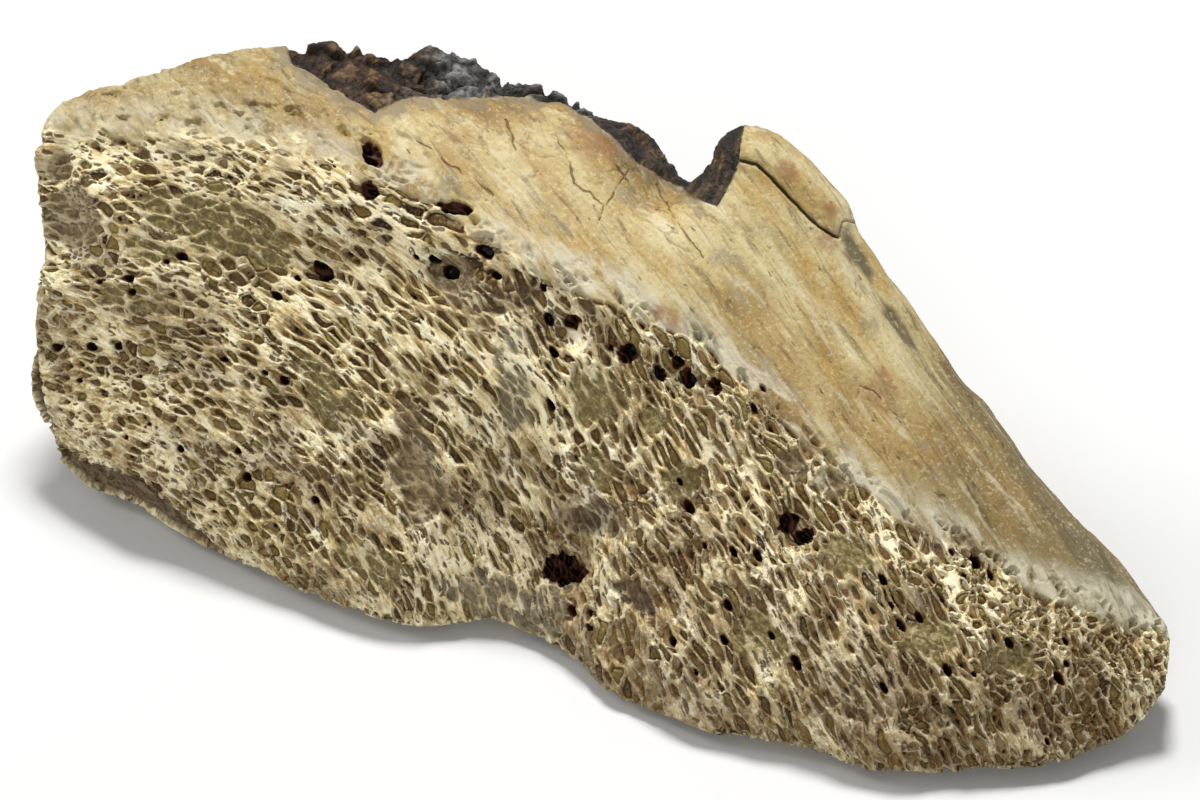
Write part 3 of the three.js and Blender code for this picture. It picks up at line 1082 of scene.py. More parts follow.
@dataclass(frozen=True)
class OuterWall:
    """The smooth outer wall, with its grain, its cracks and the crack round the flake.

    Attributes:
        streaks: The way its streaks run.
        plates: The long plates that its surface splits in.
        crack_mm: How deep the cracks are.
        flake_crack_mm: How deep the crack round the flake is.
        swell_mm: How high its broad waves are.
        pit_mm: How deep its small pits are.
    """

    streaks: WallGrain = WallGrain()
    plates: Cells = Cells((15.0, 2.6, 2.6), 54, reach=3.0)
    crack_mm: float = 0.09
    flake_crack_mm: float = 0.35
    swell_mm: float = 0.22
    pit_mm: float = 0.05

    def relief(self, places: Places, region: Regions, marks: dict[str, Values]) -> Values:
        """Works out the relief of the wall.

        Args:
            places: The vertices.
            region: Their kinds of surface.
            marks: Gets the marks of the wall.

        Returns:
            How far each vertex rises, in millimetres.
        """
        seen = 1 - places.hidden
        crack, flake = self.cracks(places)
        tip = smooth_step(18.0, 42.0, places.points[:, 0] + 4.0 * places.noise(5.0, 50, 3))
        lengthwise = self.streaks.coordinates(places.points)
        coarse = Chance.noise(lengthwise, (9.0, 1.1, 1.1), 51, 3)
        fine = Chance.noise(lengthwise, (3.5, 0.38, 0.38), 53, 2)
        swell = places.noise((8.0, 5.0, 5.0), 55, 2)
        pits = smooth_step(0.62, 0.8, places.noise((0.9, 0.5, 0.5), 56, 1))
        plate = self.plates.at(lengthwise + 0.9 * coarse[:, None])
        step = 0.112 * plate.chance * smooth_step(0.0, 0.12, plate.wall_mm)
        top_left = smooth_step(420, 300, places.across) * seen
        rise = (0.14 + 0.24 * tip + 0.2 * top_left) * coarse + 0.06 * fine
        rise += self.swell_mm * swell - self.pit_mm * pits + step
        rise -= self.crack_mm * smooth_step(1.8, 0.4, crack) * seen
        rise -= self.flake_crack_mm * smooth_step(3.0, 0.4, flake) * seen
        no_crack = 99.0
        marks.update({
            "crack": np.where(places.hidden > 0.5, no_crack, crack),
            "flake_crack_and_shadow": np.where(places.hidden > 0.5, no_crack, flake),
            "wall_grain": lengthwise * METRES,
            "plate": plate.wall_mm + 0.5 * smooth_step(-0.1, 0.3, swell),
        })
        self.mark_colours(places, region, marks, tip)
        return rise * region.wall

    @staticmethod
    def cracks(places: Places) -> tuple[Values, Values]:
        """Finds how far the vertices lie from the cracks.

        Args:
            places: The vertices.

        Returns:
            The pixels to the nearest crack of the wall, and to the crack round the flake.
        """
        stray_x, stray_y = 4.0 * places.noise(1.5, 43, 3), 4.0 * places.noise(1.5, 44, 3)
        x, y = places.across + stray_x, places.down + stray_y
        crack = np.min([line.distance(x, y) for line in Landmarks.CRACKS], axis=0)
        crack = crack + 1.1 * smooth_step(-0.2, 0.6, places.noise(1.7, 45, 2))
        x, y = places.across + 0.5 * stray_x, places.down + 0.5 * stray_y
        flake = np.minimum(Landmarks.FLAKE_CRACK.distance(x, y), 1.2 + Landmarks.FLAKE_END.distance(x, y))
        return crack, flake

    @staticmethod
    def mark_colours(places: Places, region: Regions, marks: dict[str, Values], tip: Values) -> None:
        """Marks where the wall is stained, grey, pale, dirty or ochre.

        Args:
            places: The vertices.
            region: Their kinds of surface.
            marks: Gets the marks.
            tip: How near to the thin end each vertex lies, from 0 to 1.
        """
        seen = 1 - places.hidden
        across = places.across
        stain = places.inside(Landmarks.STAINS) + 0.4 * places.noise(1.8, 47, 3)
        border = Landmarks.CRUST_EDGE.distance(across, places.down) + 12 * places.noise(1.6, 48, 3)
        rim = abs(-places.past(Landmarks.RIDGE) - 14 + 16 * places.noise(3.0, 49, 3))
        pale = smooth_step(34, 4, rim) * seen * smooth_step(0.3, 0.6, region.wall)
        groove = places.inside(Landmarks.GREY_STREAKS) + 0.4 * places.noise(1.8, 52, 3)
        dirt = 0.8 * tip + 0.35 * places.hidden + smooth_step(-0.3, 0.5, groove) * seen
        ochre = places.inside(Landmarks.OCHRE_PATCHES) + 0.5 * places.noise(3.0, 58, 3)
        marks.update({
            "stain": smooth_step(-0.2, 0.6, stain) * seen,
            "grey_edge": 0.8 * smooth_step(18, 0, border) * region.wall * smooth_step(716, 690, across),
            "pale_edge": pale * (0.6 + 0.4 * smooth_step(300, 480, across)),
            "wall_dirt": np.clip(dirt + 0.32 * smooth_step(430, 260, across), 0, 1),
            "ochre": smooth_step(-0.3, 0.6, ochre) * seen,
        })


@dataclass(frozen=True)
class Crust:
    """The dark crust at the back: lumpy on the left, and a thin streaked strip beside the notch.

    Attributes:
        clods: Its lumps.
        crumbs: The crumbs on them.
        sunk_mm: How far its lowest parts lie under the plain form.
    """

    clods: Cells = Cells((3.4, 2.4, 2.4), 59, reach=2.0)
    crumbs: Cells = Cells((1.1, 1.0, 1.0), 61, reach=2.0)
    sunk_mm: float = 0.5

    def relief(self, places: Places, region: Regions, marks: dict[str, Values]) -> Values:
        """Works out the relief of the crust.

        Args:
            places: The vertices.
            region: Their kinds of surface.
            marks: Gets the marks of the crust.

        Returns:
            How far each vertex rises, in millimetres.
        """
        points = places.points
        stray = np.stack([places.noise(1.9, seed, 4) for seed in (57, 58, 60)], 1)
        clods = self.clods.at(points + 0.9 * stray)
        crumbs = self.crumbs.at(points + 0.6 * stray)
        lumps = places.noise(4.6, 62, 3)
        clod = smooth_step(0.0, 0.7, clods.wall_mm)
        crumb = smooth_step(0.0, 0.3, crumbs.wall_mm)
        strip = smooth_step(-13.0, -10.0, points[:, 0] + 0.8 * lumps)
        streaks = places.noise((0.9, 6.0, 0.9), 63, 3)
        ridges = 1.0 - 2.0 * abs(places.noise(1.7, 64, 3))
        rough = 1.1 * lumps + (0.7 * clods.chance + 0.2) * clod + 0.1 * ridges + 0.14 * crumb * crumbs.chance
        rough -= self.sunk_mm
        rough = blend(rough, 0.55 * rough - 0.3, places.hidden)
        blue_grey = smooth_step(-14, 10, 28 * lumps + 0.4 * (places.across - 425))
        marks.update({
            "notch": smooth_step(3.0, 6.0, points[:, 0]) * smooth_step(24.0, 31.0, points[:, 2]),
            # Follows the lumps' height: the finish paints the hollows darker and the tops lighter by it, as
            # painted shade and highlight.
            "lump_light_and_shade": np.clip(0.3 * clod + 0.25 * crumb + 0.45 * (0.5 + lumps), 0, 1),
            "blue_grey": blue_grey * (1 - places.hidden),
            "strip": strip,
        })
        return blend(rough, 0.3 * lumps + 0.35 * streaks + 0.1 * crumb, strip) * region.crust


@dataclass
class BoneFragment:
    """The whole fragment: its fine mesh, its relief and the pieces that it is kept in.

    Attributes:
        view: The photograph's camera.
        spacing_mm: How far apart the vertices of the plain mesh are.
        rounding: How many times the plain mesh is smoothed.
        grain: The way the struts run.
        spongy_bone: The open front.
        outer_wall: The smooth top.
        crust: The dark back.
        foot_mm: How high over the floor the relief reaches its full depth.
    """

    view: PhotoView
    spacing_mm: float = 0.292
    rounding: int = 16
    grain: Grain = Grain()
    spongy_bone: SpongyBone = SpongyBone()
    outer_wall: OuterWall = OuterWall()
    crust: Crust = Crust()
    foot_mm: float = 1.2

    PIECES = (
        "spongy_left", "spongy_middle", "spongy_right", "spongy_tip", "wall_left_and_crust", "wall_right",
        "back_left", "back_right",
    )
    FRONT_SEAMS_PX = (330, 590, 860)
    WALL_SEAM_PX = 620

    def build(self) -> list[bpy.types.Object]:
        """Makes the fragment's pieces.

        Returns:
            The pieces, which meet edge to edge.
        """
        surface = self.plain_surface()
        log.info("plain surface of %d faces", len(surface.starts))
        surface = surface.divide(self.seen_closely(surface))
        surface.relax(2)
        log.info("fine surface of %d faces", len(surface.starts))
        marks = self.add_relief(surface)
        return self.part(surface, marks)

    def plain_surface(self) -> Surface:
        """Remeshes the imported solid's form evenly and takes its flat facets off.

        Returns:
            The form.
        """
        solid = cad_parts[NODE]
        copy = solid.copy()
        copy.data = solid.data.copy()
        bpy.context.collection.objects.link(copy)
        remesh = copy.modifiers.new("even", "REMESH")
        remesh.mode = "VOXEL"
        remesh.voxel_size = self.spacing_mm * METRES
        evened = copy.evaluated_get(bpy.context.evaluated_depsgraph_get())
        surface = Surface.from_mesh(evened.to_mesh())
        evened.to_mesh_clear()
        bpy.data.objects.remove(copy)
        surface.relax(self.rounding)
        surface.points[:, 2] = np.maximum(surface.points[:, 2], 0.0)
        return surface

    def seen_closely(self, surface: Surface) -> Values:
        """Chooses the faces of the front, the wall and the crust, which get finer meshes.

        Args:
            surface: The plain surface.

        Returns:
            Whether each face is one.
        """
        _, _, back = self.view.axes()
        least_facing, least_height_mm = -0.12, 0.35
        near = (surface.normals() @ back > least_facing) & (surface.points[:, 2] > least_height_mm)
        counts = surface.counts()
        owner = np.repeat(np.arange(len(counts)), counts)
        return (np.bincount(owner, near[surface.corners], len(counts)) == counts) & (counts == 4)

    def add_relief(self, surface: Surface) -> dict[str, Values]:
        """Moves the vertices to the bone's real relief.

        Args:
            surface: The fine surface, which is changed.

        Returns:
            The marks that the finish reads, by name.
        """
        places = Places.of(surface, self.view, self.grain)
        region = Regions.of(places)
        marks = {"grain": places.grain}
        rise = self.spongy_bone.relief(places, region, marks)
        rise += self.outer_wall.relief(places, region, marks)
        rise += self.crust.relief(places, region, marks)
        rise *= smooth_step(0.0, self.foot_mm, places.points[:, 2])
        marks.update({
            "wall": region.wall, "crust": region.crust, "tan_patch": region.tan, "brown_patch": region.brown,
            "grey_patch": region.grey, "olive_patch": region.olive,
        })
        surface.points += places.normals * rise[:, None]
        surface.points[:, 2] = np.maximum(surface.points[:, 2], 0.0)
        return marks

    def part(self, surface: Surface, marks: dict[str, Values]) -> list[bpy.types.Object]:
        """Parts the surface in pieces that are light enough to keep whole.

        Args:
            surface: The finished surface.
            marks: The marks that the finish reads.

        Returns:
            The pieces.
        """
        normals = surface.normals()
        counts = surface.counts()
        first = surface.points[surface.corners[surface.starts]]
        across, down, _ = self.view.pixels(first)
        _, _, back = self.view.axes()
        owner = np.repeat(np.arange(len(counts)), counts)
        facing = np.bincount(owner, (normals @ back)[surface.corners]) / counts
        least_facing, margin_px = -0.35, 2
        behind = (counts != 4) | (facing < least_facing)
        above = down < Landmarks.RIDGE.down(across) - margin_px
        front_piece = np.digitize(across, self.FRONT_SEAMS_PX)
        wall_piece = self.PIECES.index("wall_left_and_crust") + (across > self.WALL_SEAM_PX)
        back_piece = self.PIECES.index("back_left") + (first[:, 0] > 0)
        piece = np.where(behind, back_piece, np.where(above, wall_piece, front_piece))
        made = []
        for number, name in enumerate(self.PIECES):
            chosen = piece == number
            part, used = surface.piece(chosen)
            own_marks = {key: mark[used] for key, mark in marks.items()}
            made.append(part.to_object(name, normals[used], own_marks))
            log.info("%s: %d triangles", name, int((counts[chosen] - 2).sum()))
        return made


class Value:
    """A shader number that Python's own operators work on."""

    def __init__(self, shader: "Shader", socket: bpy.types.NodeSocket) -> None:
        """Wraps a shader's socket."""
        self.shader = shader
        self.socket = socket

    def _math(self, operation: str, first: "Value | float", second: "Value | float") -> "Value":
        """Adds one Math node."""
        return self.shader.value("ShaderNodeMath", {"operation": operation}, {0: first, 1: second})

    def __add__(self, other: "Value | float") -> "Value":
        """The sum."""
        return self._math("ADD", self, other)

    def __radd__(self, other: float) -> "Value":
        """The sum, from the right."""
        return self._math("ADD", other, self)

    def __sub__(self, other: "Value | float") -> "Value":
        """The difference."""
        return self._math("SUBTRACT", self, other)

    def __rsub__(self, other: float) -> "Value":
        """The difference, from the right."""
        return self._math("SUBTRACT", other, self)

    def __mul__(self, other: "Value | float") -> "Value":
        """The product."""
        return self._math("MULTIPLY", self, other)

    def __rmul__(self, other: float) -> "Value":
        """The product, from the right."""
        return self._math("MULTIPLY", other, self)

    def ease(self, low: float, high: float) -> "Value":
        """Eases from 0 to 1.

        Args:
            low: The value where it leaves 0.
            high: The value where it reaches 1. It may be below low, to ease the other way.

        Returns:
            The eased value.
        """
        swap = low > high
        inputs = {"Value": self, "From Min": min(low, high), "From Max": max(low, high)}
        way = {"interpolation_type": "SMOOTHSTEP"}
        eased = self.shader.value("ShaderNodeMapRange", way, inputs, "Result")
        return 1.0 - eased if swap else eased


class Colour:
    """A shader colour."""

    def __init__(self, shader: "Shader", socket: bpy.types.NodeSocket) -> None:
        """Wraps a shader's socket."""
        self.shader = shader
        self.socket = socket

    def mix(self, other: "Colour | tuple[float, ...]", share: "Value | float") -> "Colour":
        """Mixes another colour in.

        Args:
            other: The other colour.
            share: How much of it, from 0 to 1.

        Returns:
            The mixed colour.
        """
        settings = {"data_type": "RGBA", "clamp_factor": True}
        node = self.shader.node("ShaderNodeMix", settings, {0: share, 6: self, 7: other})
        return Colour(self.shader, node.outputs[2])


class Shader:
    """One material, its nodes made by Python expressions."""

    def __init__(self, name: str) -> None:
        """Makes an empty material.

        Args:
            name: Its name.
        """
        self.material = bpy.data.materials.new(name)
        self.material.use_nodes = True
        self.tree = self.material.node_tree
        self.tree.nodes.clear()

    def node(self, kind: str, settings: dict[str, object],
             inputs: dict[int | str, object]) -> bpy.types.Node:
        """Adds a node.

        Args:
            kind: The node's type.
            settings: Its settings, a ramp's stops under "stops".
            inputs: The values or links of its sockets.

        Returns:
            The node.
        """
        node = self.tree.nodes.new(kind)
        for key, setting in settings.items():
            if key == "stops":
                self._set_stops(node, setting)
            else:
                setattr(node, key, setting)
        for key, source in inputs.items():
            socket = node.inputs[key]
            if isinstance(source, (Value, Colour)):
                self.tree.links.new(source.socket, socket)
            elif isinstance(source, bpy.types.NodeSocket):
                self.tree.links.new(source, socket)
            else:
                socket.default_value = source
        return node

    def value(self, kind: str, settings: dict[str, object], inputs: dict[int | str, object],
              output: int | str = 0) -> Value:
        """Adds a node, as the method node does, and takes one of its numbers."""
        return Value(self, self.node(kind, settings, inputs).outputs[output])

    def mark(self, name: str) -> Value:
        """A mark of the mesh as a number."""
        return self.value("ShaderNodeAttribute", {"attribute_name": name}, {}, "Fac")

    def mark_vector(self, name: str) -> bpy.types.NodeSocket:
        """A mark of the mesh as a vector."""
        return self.node("ShaderNodeAttribute", {"attribute_name": name}, {}).outputs["Vector"]

    def stretched(self, vector: bpy.types.NodeSocket,
                  scale: tuple[float, float, float]) -> bpy.types.NodeSocket:
        """A vector with each axis scaled."""
        return self.node("ShaderNodeVectorMath", {"operation": "MULTIPLY"}, {0: vector, 1: scale}).outputs[0]

    def noise(self, vector: bpy.types.NodeSocket, scale: float, detail: float = 3.0, rough: float = 0.55,
              distortion: float = 0.0) -> Value:
        """Smooth noise around 0.5, with so many lumps a unit and so many finer layers."""
        inputs = {"Vector": vector, "Scale": scale, "Detail": detail, "Roughness": rough}
        return self.value("ShaderNodeTexNoise", {}, {**inputs, "Distortion": distortion}, "Fac")

    def ramp(self, share: Value, stops: Sequence[tuple[float, tuple[float, ...]]]) -> Colour:
        """The colour that a number from 0 to 1 has on a ramp of places and their colours."""
        return Colour(self, self.node("ShaderNodeValToRGB", {"stops": stops}, {0: share}).outputs[0])

    @staticmethod
    def _set_stops(node: bpy.types.Node, stops: Sequence[tuple[float, tuple[float, ...]]]) -> None:
        """Sets a ramp's stops.

        Args:
            node: The ramp.
            stops: Places and their colours.
        """
        elements = node.color_ramp.elements
        while len(elements) < len(stops):
            elements.new(0.5)
        for element, (place, colour) in zip(elements, stops):
            element.position = place
            element.color = colour


def paint(red: int, green: int, blue: int) -> tuple[float, float, float, float]:
    """A colour as it looks, with 0 to 255 a channel, as the linear light that shaders use.

    Args:
        red: The red channel.
        green: The green channel.
        blue: The blue channel.

    Returns:
        The colour, fully opaque.
    """
    channels = []
    for channel in (red, green, blue):
        share = channel / 255.0
        channels.append(share / 12.92 if share <= 0.04045 else ((share + 0.055) / 1.055) ** 2.4)
    return (*channels, 1.0)


@dataclass(frozen=True)
class FossilFinish:
    """The look of the fossil: cream struts, olive sediment in the pores, a tan wall and a dark crust.

    Attributes:
        gloss: How rough the polished parts are, from 0, a mirror, to 1.
        mirror: How much light it mirrors head on.
        bump_m: How high the finest relief is, in metres.
    """

    gloss: float = 0.42
    mirror: float = 0.25
    bump_m: float = 0.00012

    STRUT = (
        (0.3, paint(146, 113, 64)), (0.41, paint(198, 174, 122)), (0.52, paint(230, 215, 169)),
        (0.68, paint(248, 241, 212)),
    )
    # The sediment's colours: the darkest stops, for the deep empty pores, are painted shade.
    SEDIMENT = (
        (0.0, paint(150, 130, 70)), (0.3, paint(120, 94, 42)), (0.5, paint(88, 57, 24)),
        (0.68, paint(50, 28, 12)), (0.9, paint(18, 8, 4)),
    )
    # The deep holes: a red-brown lining, going to painted shade, near black, in their middles.
    HOLE = ((0.0, paint(112, 68, 36)), (0.4, paint(66, 30, 14)), (0.8, paint(17, 7, 4)))
    TAN = ((0.3, paint(72, 56, 36)), (0.5, paint(116, 98, 70)), (0.68, paint(158, 139, 104)))
    BROWN = ((0.3, paint(50, 37, 23)), (0.5, paint(86, 68, 46)), (0.68, paint(124, 103, 75)))
    GREY = ((0.3, paint(78, 71, 56)), (0.5, paint(118, 110, 89)), (0.68, paint(158, 148, 122)))
    OLIVE = ((0.3, paint(70, 56, 28)), (0.5, paint(118, 104, 62)), (0.68, paint(164, 150, 102)))
    WALL = (
        (0.32, paint(104, 82, 44)), (0.43, paint(150, 123, 70)), (0.53, paint(173, 154, 104)),
        (0.66, paint(194, 180, 137)),
    )
    # The crust's browns by lump height: the near black is painted shade low between the lumps, and the light
    # end is partly painted light on their tops.
    CRUST = (
        (0.2, paint(16, 8, 4)), (0.4, paint(40, 25, 12)),
        (0.6, paint(70, 50, 29)), (0.9, paint(118, 96, 64)),
    )
    # The grey part's lightest stops, on the lump tops, are painted highlight.
    BLUE_GREY = ((0.2, paint(24, 21, 18)), (0.5, paint(68, 66, 61)), (0.85, paint(126, 127, 126)))
    STRIP = (
        (0.33, paint(14, 9, 6)), (0.5, paint(38, 28, 18)),
        (0.62, paint(84, 64, 42)), (0.75, paint(140, 118, 86)),
    )

    def build(self) -> bpy.types.Material:
        """Makes the material.

        Returns:
            The material.
        """
        shader = Shader("fossil_bone")
        place = shader.node("ShaderNodeTexCoord", {}, {}).outputs["Object"]
        wall, crust = shader.mark("wall"), shader.mark("crust")
        hole, over = shader.mark("hole"), shader.mark("over")
        inner = self.patches(shader, self.spongy(shader, place), place)
        colour = inner.mix(self.wall(shader, place), wall)
        colour = colour.mix(inner, shader.mark("pore").ease(0.05, 0.3) * over.ease(-0.03, 0.03) * wall)
        colour = colour.mix(self.crust(shader, place), crust)
        # The deep holes: red-brown lining with painted shade in their middles.
        colour = colour.mix(shader.ramp(hole, self.HOLE), hole.ease(0.05, 0.35))
        uneven = shader.noise(place, 900.0, 2.0, 0.5)
        wet = over.ease(0.0, 0.06) * (1.0 - wall - crust)
        rough = self.gloss + uneven * 0.3 + crust * 0.05 - hole * 0.12 - wet * 0.16
        surface = shader.node("ShaderNodeBsdfPrincipled", {}, {
            "Base Color": colour, "Roughness": rough, "Normal": self.relief(shader, place, wall, crust),
            "Specular IOR Level": self.mirror,
        })
        shader.node("ShaderNodeOutputMaterial", {}, {"Surface": surface.outputs[0]})
        return shader.material

    def spongy(self, shader: Shader, place: bpy.types.NodeSocket) -> Colour:
        """The spongy bone's colour, with painted shade in the crevices beside the struts, along the
        sediment's rims and deep down in the pores.

        Args:
            shader: The material.
            place: The object's own coordinates.

        Returns:
            The colour.
        """
        dirt, sunk, over = shader.mark("dirt"), shader.mark("sunk"), shader.mark("over")
        strut, sediment = self.struts(shader, place, dirt), self.sediment(shader, place, dirt)
        lower_strut, slit, side = paint(124, 91, 50), paint(84, 60, 34), paint(64, 36, 17)
        contour_shadow, depth_shade = paint(30, 18, 9), paint(16, 9, 5)
        colour = strut.mix(lower_strut, shader.mark("inner").ease(-0.05, 0.1) * 0.8)
        colour = colour.mix(slit, shader.mark("slit").ease(0.15, 0.8) * 0.85)
        level = over + (shader.noise(place, 1300.0, 3.0, 0.6) - 0.5) * 0.12
        crevice_shade = sunk.ease(0.02, 0.3)
        # Painted shade: the side colour darkens the struts' sides down in the crevices, more the deeper they
        # are sunk.
        colour = colour.mix(side, level.ease(-0.35, -0.03) * crevice_shade * 0.65)
        colour = colour.mix(sediment, level.ease(-0.01, 0.07))
        # Painted shadow: a thin dark line where the sediment meets the struts, in the crevices.
        colour = colour.mix(contour_shadow, level.ease(-0.08, 0.0) * level.ease(0.1, 0.02) * crevice_shade * 0.15)
        # Painted shade: the deeper the surface sits, the nearer to black.
        return colour.mix(depth_shade, sunk.ease(0.75, 1.5))

    def struts(self, shader: Shader, place: bpy.types.NodeSocket, dirt: Value) -> Colour:
        """The colour of the struts: cream, with brown clouds and specks, and pale flecks of painted
        highlight.

        Args:
            shader: The material.
            place: The object's own coordinates.
            dirt: How dirty the bone is.

        Returns:
            The colour.
        """
        brown, speck, fleck_highlight = paint(128, 102, 64), paint(112, 84, 50), paint(240, 236, 218)
        fibre = shader.noise(shader.stretched(shader.mark_vector("grain"), (0.35, 2.4, 1.0)), 1.3, 5.0, 0.65)
        cloud = shader.noise(place, 130.0, 5.0, 0.65)
        specks = shader.noise(place, 1700.0, 3.0, 0.7)
        strut = shader.ramp(fibre + shader.mark("band") * 0.12, self.STRUT)
        strut = strut.mix(brown, (cloud + dirt * 0.2).ease(0.54, 0.76) * 0.7)
        strut = strut.mix(speck, (specks + dirt * 0.08).ease(0.57, 0.71) * 0.6)
        # Painted highlight: pale flecks on the struts.
        return strut.mix(fleck_highlight, specks.ease(0.44, 0.32) * 0.5)

    def sediment(self, shader: Shader, place: bpy.types.NodeSocket, dirt: Value) -> Colour:
        """The colour of the sediment in the pores, from olive in full ones to near black in deep ones, where
        the near black is painted shade.

        Args:
            shader: The material.
            place: The object's own coordinates.
            dirt: How dirty the bone is.

        Returns:
            The colour.
        """
        rust, soil, moss = paint(96, 46, 22), paint(66, 42, 18), paint(112, 101, 50)
        pale, dark = paint(176, 152, 96), paint(56, 38, 20)
        chance = shader.mark("chance")
        fill = shader.ramp(chance + (shader.noise(place, 420.0, 3.0, 0.6) - 0.5) * 0.5, self.SEDIMENT)
        fill = fill.mix(rust, shader.noise(place, 190.0, 4.0, 0.6).ease(0.54, 0.68) * 0.6)
        fill = fill.mix(soil, dirt * 0.45)
        fill = fill.mix(moss, shader.noise(place, 240.0, 4.0, 0.6).ease(0.55, 0.45) * (1.0 - chance) * 0.55)
        speckle = shader.noise(place, 2800.0, 2.0, 0.75)
        fill = fill.mix(pale, speckle.ease(0.54, 0.72) * 0.55)
        return fill.mix(dark, speckle.ease(0.46, 0.32) * 0.6)

    def patches(self, shader: Shader, colour: Colour, place: bpy.types.NodeSocket) -> Colour:
        """Lays the smooth patches of sediment over the spongy bone.

        Args:
            shader: The material.
            colour: The spongy bone's colour.
            place: The object's own coordinates.

        Returns:
            The colour with the patches.
        """
        grains = shader.noise(place, 1500.0, 3.0, 0.75)
        brown = shader.ramp(grains, self.BROWN)
        olive = shader.mark("olive_patch") * grains.ease(0.2, 0.5)
        colour = colour.mix(shader.ramp(grains, self.OLIVE), olive)
        colour = colour.mix(shader.ramp(grains, self.TAN), shader.mark("tan_patch") * 0.85)
        colour = colour.mix(brown, shader.mark("brown_patch") * 0.9)
        colour = colour.mix(shader.ramp(grains, self.GREY), shader.mark("grey_patch") * 0.75)
        return colour.mix(brown, shader.mark("under") * 0.85)

    def wall(self, shader: Shader, place: bpy.types.NodeSocket) -> Colour:
        """The smooth outer wall's colour.

        Args:
            shader: The material.
            place: The object's own coordinates.

        Returns:
            The colour.
        """
        grain = shader.mark_vector("wall_grain")
        clouds = shader.noise(shader.stretched(grain, (0.4, 1.2, 1.2)), 95.0, 5.0, 0.6, 0.4)
        ochre = shader.noise(shader.stretched(grain, (0.5, 1.3, 1.3)), 150.0, 4.0, 0.55, 0.8)
        streak = shader.noise(shader.stretched(grain, (0.14, 1.0, 1.0)), 900.0, 3.0, 0.65, 0.5)
        pale = shader.noise(shader.stretched(grain, (0.14, 1.0, 1.0)), 560.0, 4.0, 0.65, 0.6)
        specks = shader.noise(shader.stretched(grain, (0.4, 1.0, 1.0)), 1500.0, 2.0, 0.6)
        swirl = shader.noise(shader.stretched(grain, (0.45, 1.0, 1.0)), 330.0, 5.0, 0.65, 0.9)
        grey_clouds = shader.noise(place, 210.0, 4.0, 0.6)
        grains = shader.noise(place, 2300.0, 2.5, 0.75)
        dirt = shader.noise(place, 700.0, 4.0, 0.7)
        dirty = shader.mark("wall_dirt")
        edge = shader.mark("pale_edge") * swirl.ease(0.38, 0.56)
        colour = shader.ramp(clouds, self.WALL)
        for coat, share in (
            (paint(166, 133, 68), (ochre + shader.mark("ochre") * 0.12).ease(0.53, 0.7) * 0.7),
            (paint(104, 84, 52), streak.ease(0.52, 0.68) * (0.65 + dirty * 0.35)),
            (paint(88, 78, 56), dirty * (clouds + 0.15).ease(0.2, 0.8) * 0.9),
            (paint(198, 188, 157), pale.ease(0.55, 0.7) * 0.6),
            (paint(98, 78, 50), shader.mark("plate").ease(0.09, 0.02) * 0.4),
            (paint(126, 117, 94), grey_clouds.ease(0.56, 0.72) * 0.6),
            (paint(70, 55, 36), specks.ease(0.66, 0.75) * 0.8),
            (paint(112, 90, 56), grains.ease(0.53, 0.72) * 0.4),
            (paint(212, 199, 160), grains.ease(0.46, 0.32) * 0.35),
            (paint(196, 190, 166), edge * 0.75),
            (paint(120, 113, 92), edge * swirl.ease(0.56, 0.64) * 0.7),
            (paint(118, 104, 78), (shader.mark("grey_edge") + dirt - 0.5).ease(0.15, 0.8) * 0.8),
            (paint(128, 84, 48), shader.mark("stain") * dirt.ease(0.3, 0.6) * 0.7),
            (paint(92, 72, 48), shader.mark("crack").ease(1.5, 0.4) * 0.75),
            # Painted shadow of the raised flake's edge and end, over its crack.
            (paint(40, 30, 18), shader.mark("flake_crack_and_shadow").ease(2.2, 0.5) * 0.9),
        ):
            colour = colour.mix(coat, share)
        return colour

    def crust(self, shader: Shader, place: bpy.types.NodeSocket) -> Colour:
        """The crust's colour: dark brown and grey, with painted shade in the hollows between the lumps and
        painted highlight on their tops.

        Args:
            shader: The material.
            place: The object's own coordinates.

        Returns:
            The colour.
        """
        rust, pale_crumb, notch_side = paint(92, 58, 31), paint(176, 160, 126), paint(140, 124, 94)
        crumble = shader.noise(place, 620.0, 5.0, 0.7)
        cloud = shader.noise(place, 130.0, 3.0, 0.6)
        lump_light_and_shade = shader.mark("lump_light_and_shade") + (crumble - 0.5) * 0.65
        # Painted shade in the hollows and painted highlight on the lump tops, over the crust's own dark
        # brown and grey.
        colour = shader.ramp(lump_light_and_shade, self.CRUST)
        blue_grey = shader.ramp(lump_light_and_shade, self.BLUE_GREY)
        colour = colour.mix(blue_grey, shader.mark("blue_grey") * (cloud + 0.1).ease(0.3, 0.6))
        colour = colour.mix(rust, shader.noise(place, 230.0, 4.0, 0.65).ease(0.54, 0.7) * 0.5)
        colour = colour.mix(pale_crumb, crumble.ease(0.62, 0.75) * cloud.ease(0.52, 0.4) * 0.6)
        streak = shader.noise(shader.stretched(place, (1.0, 0.12, 1.0)), 900.0, 4.0, 0.7)
        strip = shader.ramp(streak, self.STRIP)
        strip = strip.mix(notch_side, shader.mark("notch") * streak.ease(0.36, 0.56) * 0.8)
        return colour.mix(strip, shader.mark("strip"))

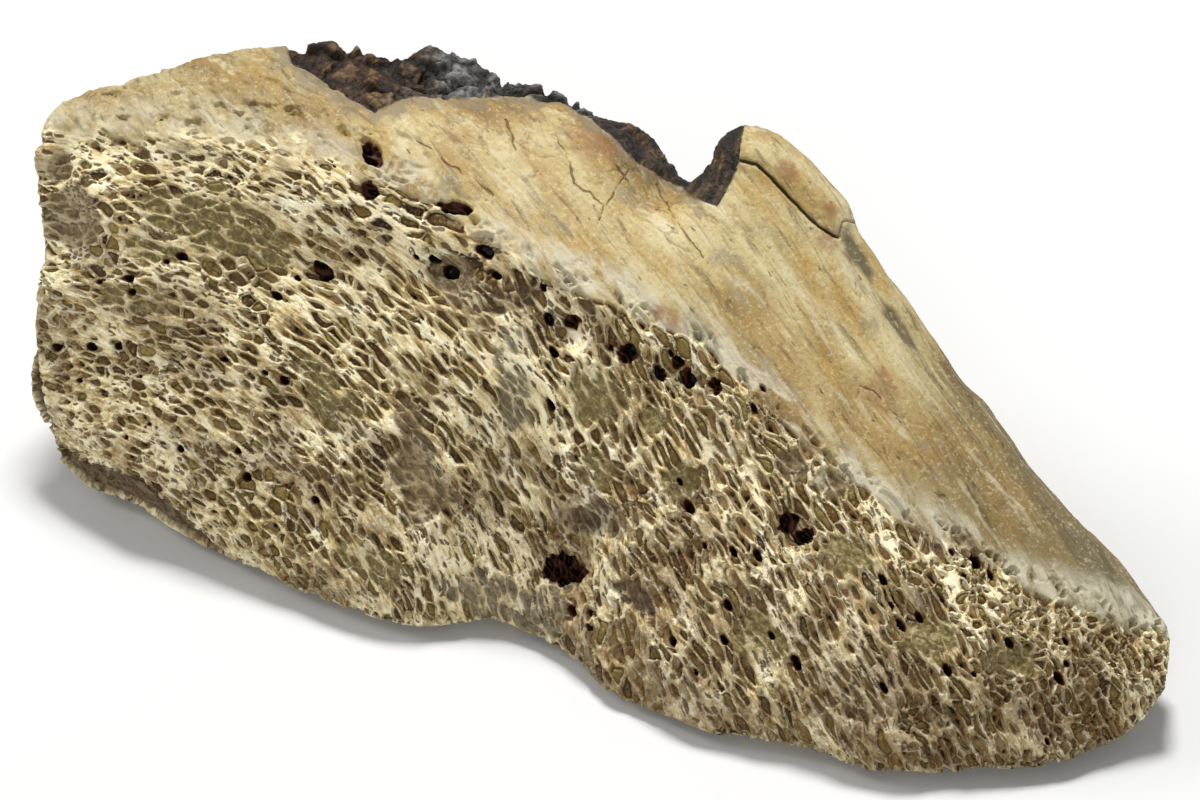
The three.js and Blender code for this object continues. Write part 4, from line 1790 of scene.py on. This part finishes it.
    def relief(self, shader: Shader, place: bpy.types.NodeSocket, wall: Value,
               crust: Value) -> bpy.types.NodeSocket:
        """The finest relief, which is too small for the mesh.

        Args:
            shader: The material.
            place: The object's own coordinates.
            wall: How much of the surface is the wall.
            crust: How much of it is the crust.

        Returns:
            The normal.
        """
        grit = shader.noise(place, 2400.0, 2.5, 0.7)
        grain = shader.mark_vector("wall_grain")
        streak = shader.noise(shader.stretched(grain, (0.12, 1.0, 1.0)), 1100.0, 3.0, 0.65)
        cut = shader.mark("crack").ease(1.4, 0.3) + shader.mark("flake_crack_and_shadow").ease(1.8, 0.4) * 2.0
        over = shader.mark("over")
        dome = over.ease(0.0, 0.14) * 1.2 - over.ease(-0.14, -0.02) * over.ease(0.08, 0.0) * 0.2
        struts = shader.mark("edge").ease(0.05, -0.1) * 2.0
        spongy = (1.0 - wall - crust) * (1.0 - shader.mark("plug"))
        height = grit * (1.1 - wall * 0.5 + crust * 1.6) + streak * wall * 0.9 - cut * wall * 0.8
        height = height + (dome + struts) * spongy
        inputs = {"Strength": 0.9, "Distance": self.bump_m, "Height": height}
        return shader.node("ShaderNodeBump", {}, inputs).outputs[0]


class Lamp(Enum):
    """The studio's soft lights, as where each stands in metres, its width and its power."""

    KEY = ((-0.25, 0.47, 1.02), 0.3, 16.0)
    FRONT = ((0.5, -1.1, 0.7), 0.6, 5.0)
    SIDE = ((-1.1, -0.2, 0.7), 0.45, 5.0)


@dataclass(frozen=True)
class Studio:
    """A pale floor and soft light.

    Attributes:
        floor_m: Half the floor's width.
        ambient: How strong the light from all round is.
    """

    floor_m: float = 3.0
    ambient: float = 0.3

    def build(self) -> None:
        """Makes the floor, the lights and the world, and shows colours as they are."""
        self.build_floor()
        for lamp in Lamp:
            self.build_lamp(lamp)
        world = bpy.data.worlds.new("studio")
        world.use_nodes = True
        world.node_tree.nodes["Background"].inputs[0].default_value = (1.0, 1.0, 1.0, 1.0)
        world.node_tree.nodes["Background"].inputs[1].default_value = self.ambient
        bpy.context.scene.world = world
        bpy.context.scene.view_settings.view_transform = "Standard"

    def build_floor(self) -> None:
        """Makes the floor."""
        reach = self.floor_m
        mesh = bpy.data.meshes.new("floor")
        corners = [(-reach, -reach, 0), (reach, -reach, 0), (reach, reach, 0), (-reach, reach, 0)]
        mesh.from_pydata(corners, [], [(0, 1, 2, 3)])
        floor = bpy.data.objects.new("floor", mesh)
        bpy.context.collection.objects.link(floor)
        shader = Shader("floor")
        plain = {"Base Color": paint(206, 206, 205), "Roughness": 0.9}
        surface = shader.node("ShaderNodeBsdfPrincipled", {}, plain)
        shader.node("ShaderNodeOutputMaterial", {}, {"Surface": surface.outputs[0]})
        mesh.materials.append(shader.material)

    def build_lamp(self, lamp: Lamp) -> None:
        """Makes one soft light that faces the fragment.

        Args:
            lamp: Which one.
        """
        place, width, power = lamp.value
        data = bpy.data.lights.new(lamp.name.lower(), "AREA")
        data.shape = "DISK"
        data.size = width
        data.energy = power
        made = bpy.data.objects.new(lamp.name.lower(), data)
        bpy.context.collection.objects.link(made)
        made.location = place
        made.rotation_euler = Vector(place).to_track_quat("Z", "Y").to_euler()


def main() -> None:
    """Builds the studio and the fragment."""
    logging.basicConfig(level=logging.INFO, format="%(name)s: %(message)s")
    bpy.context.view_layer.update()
    view = PhotoView()
    view.build()
    Studio().build()
    finish = FossilFinish().build()
    for piece in BoneFragment(view).build():
        piece.data.materials.append(finish)
        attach(piece, BODY)
        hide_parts(NODE)


if __name__ == "__main__":
    main()
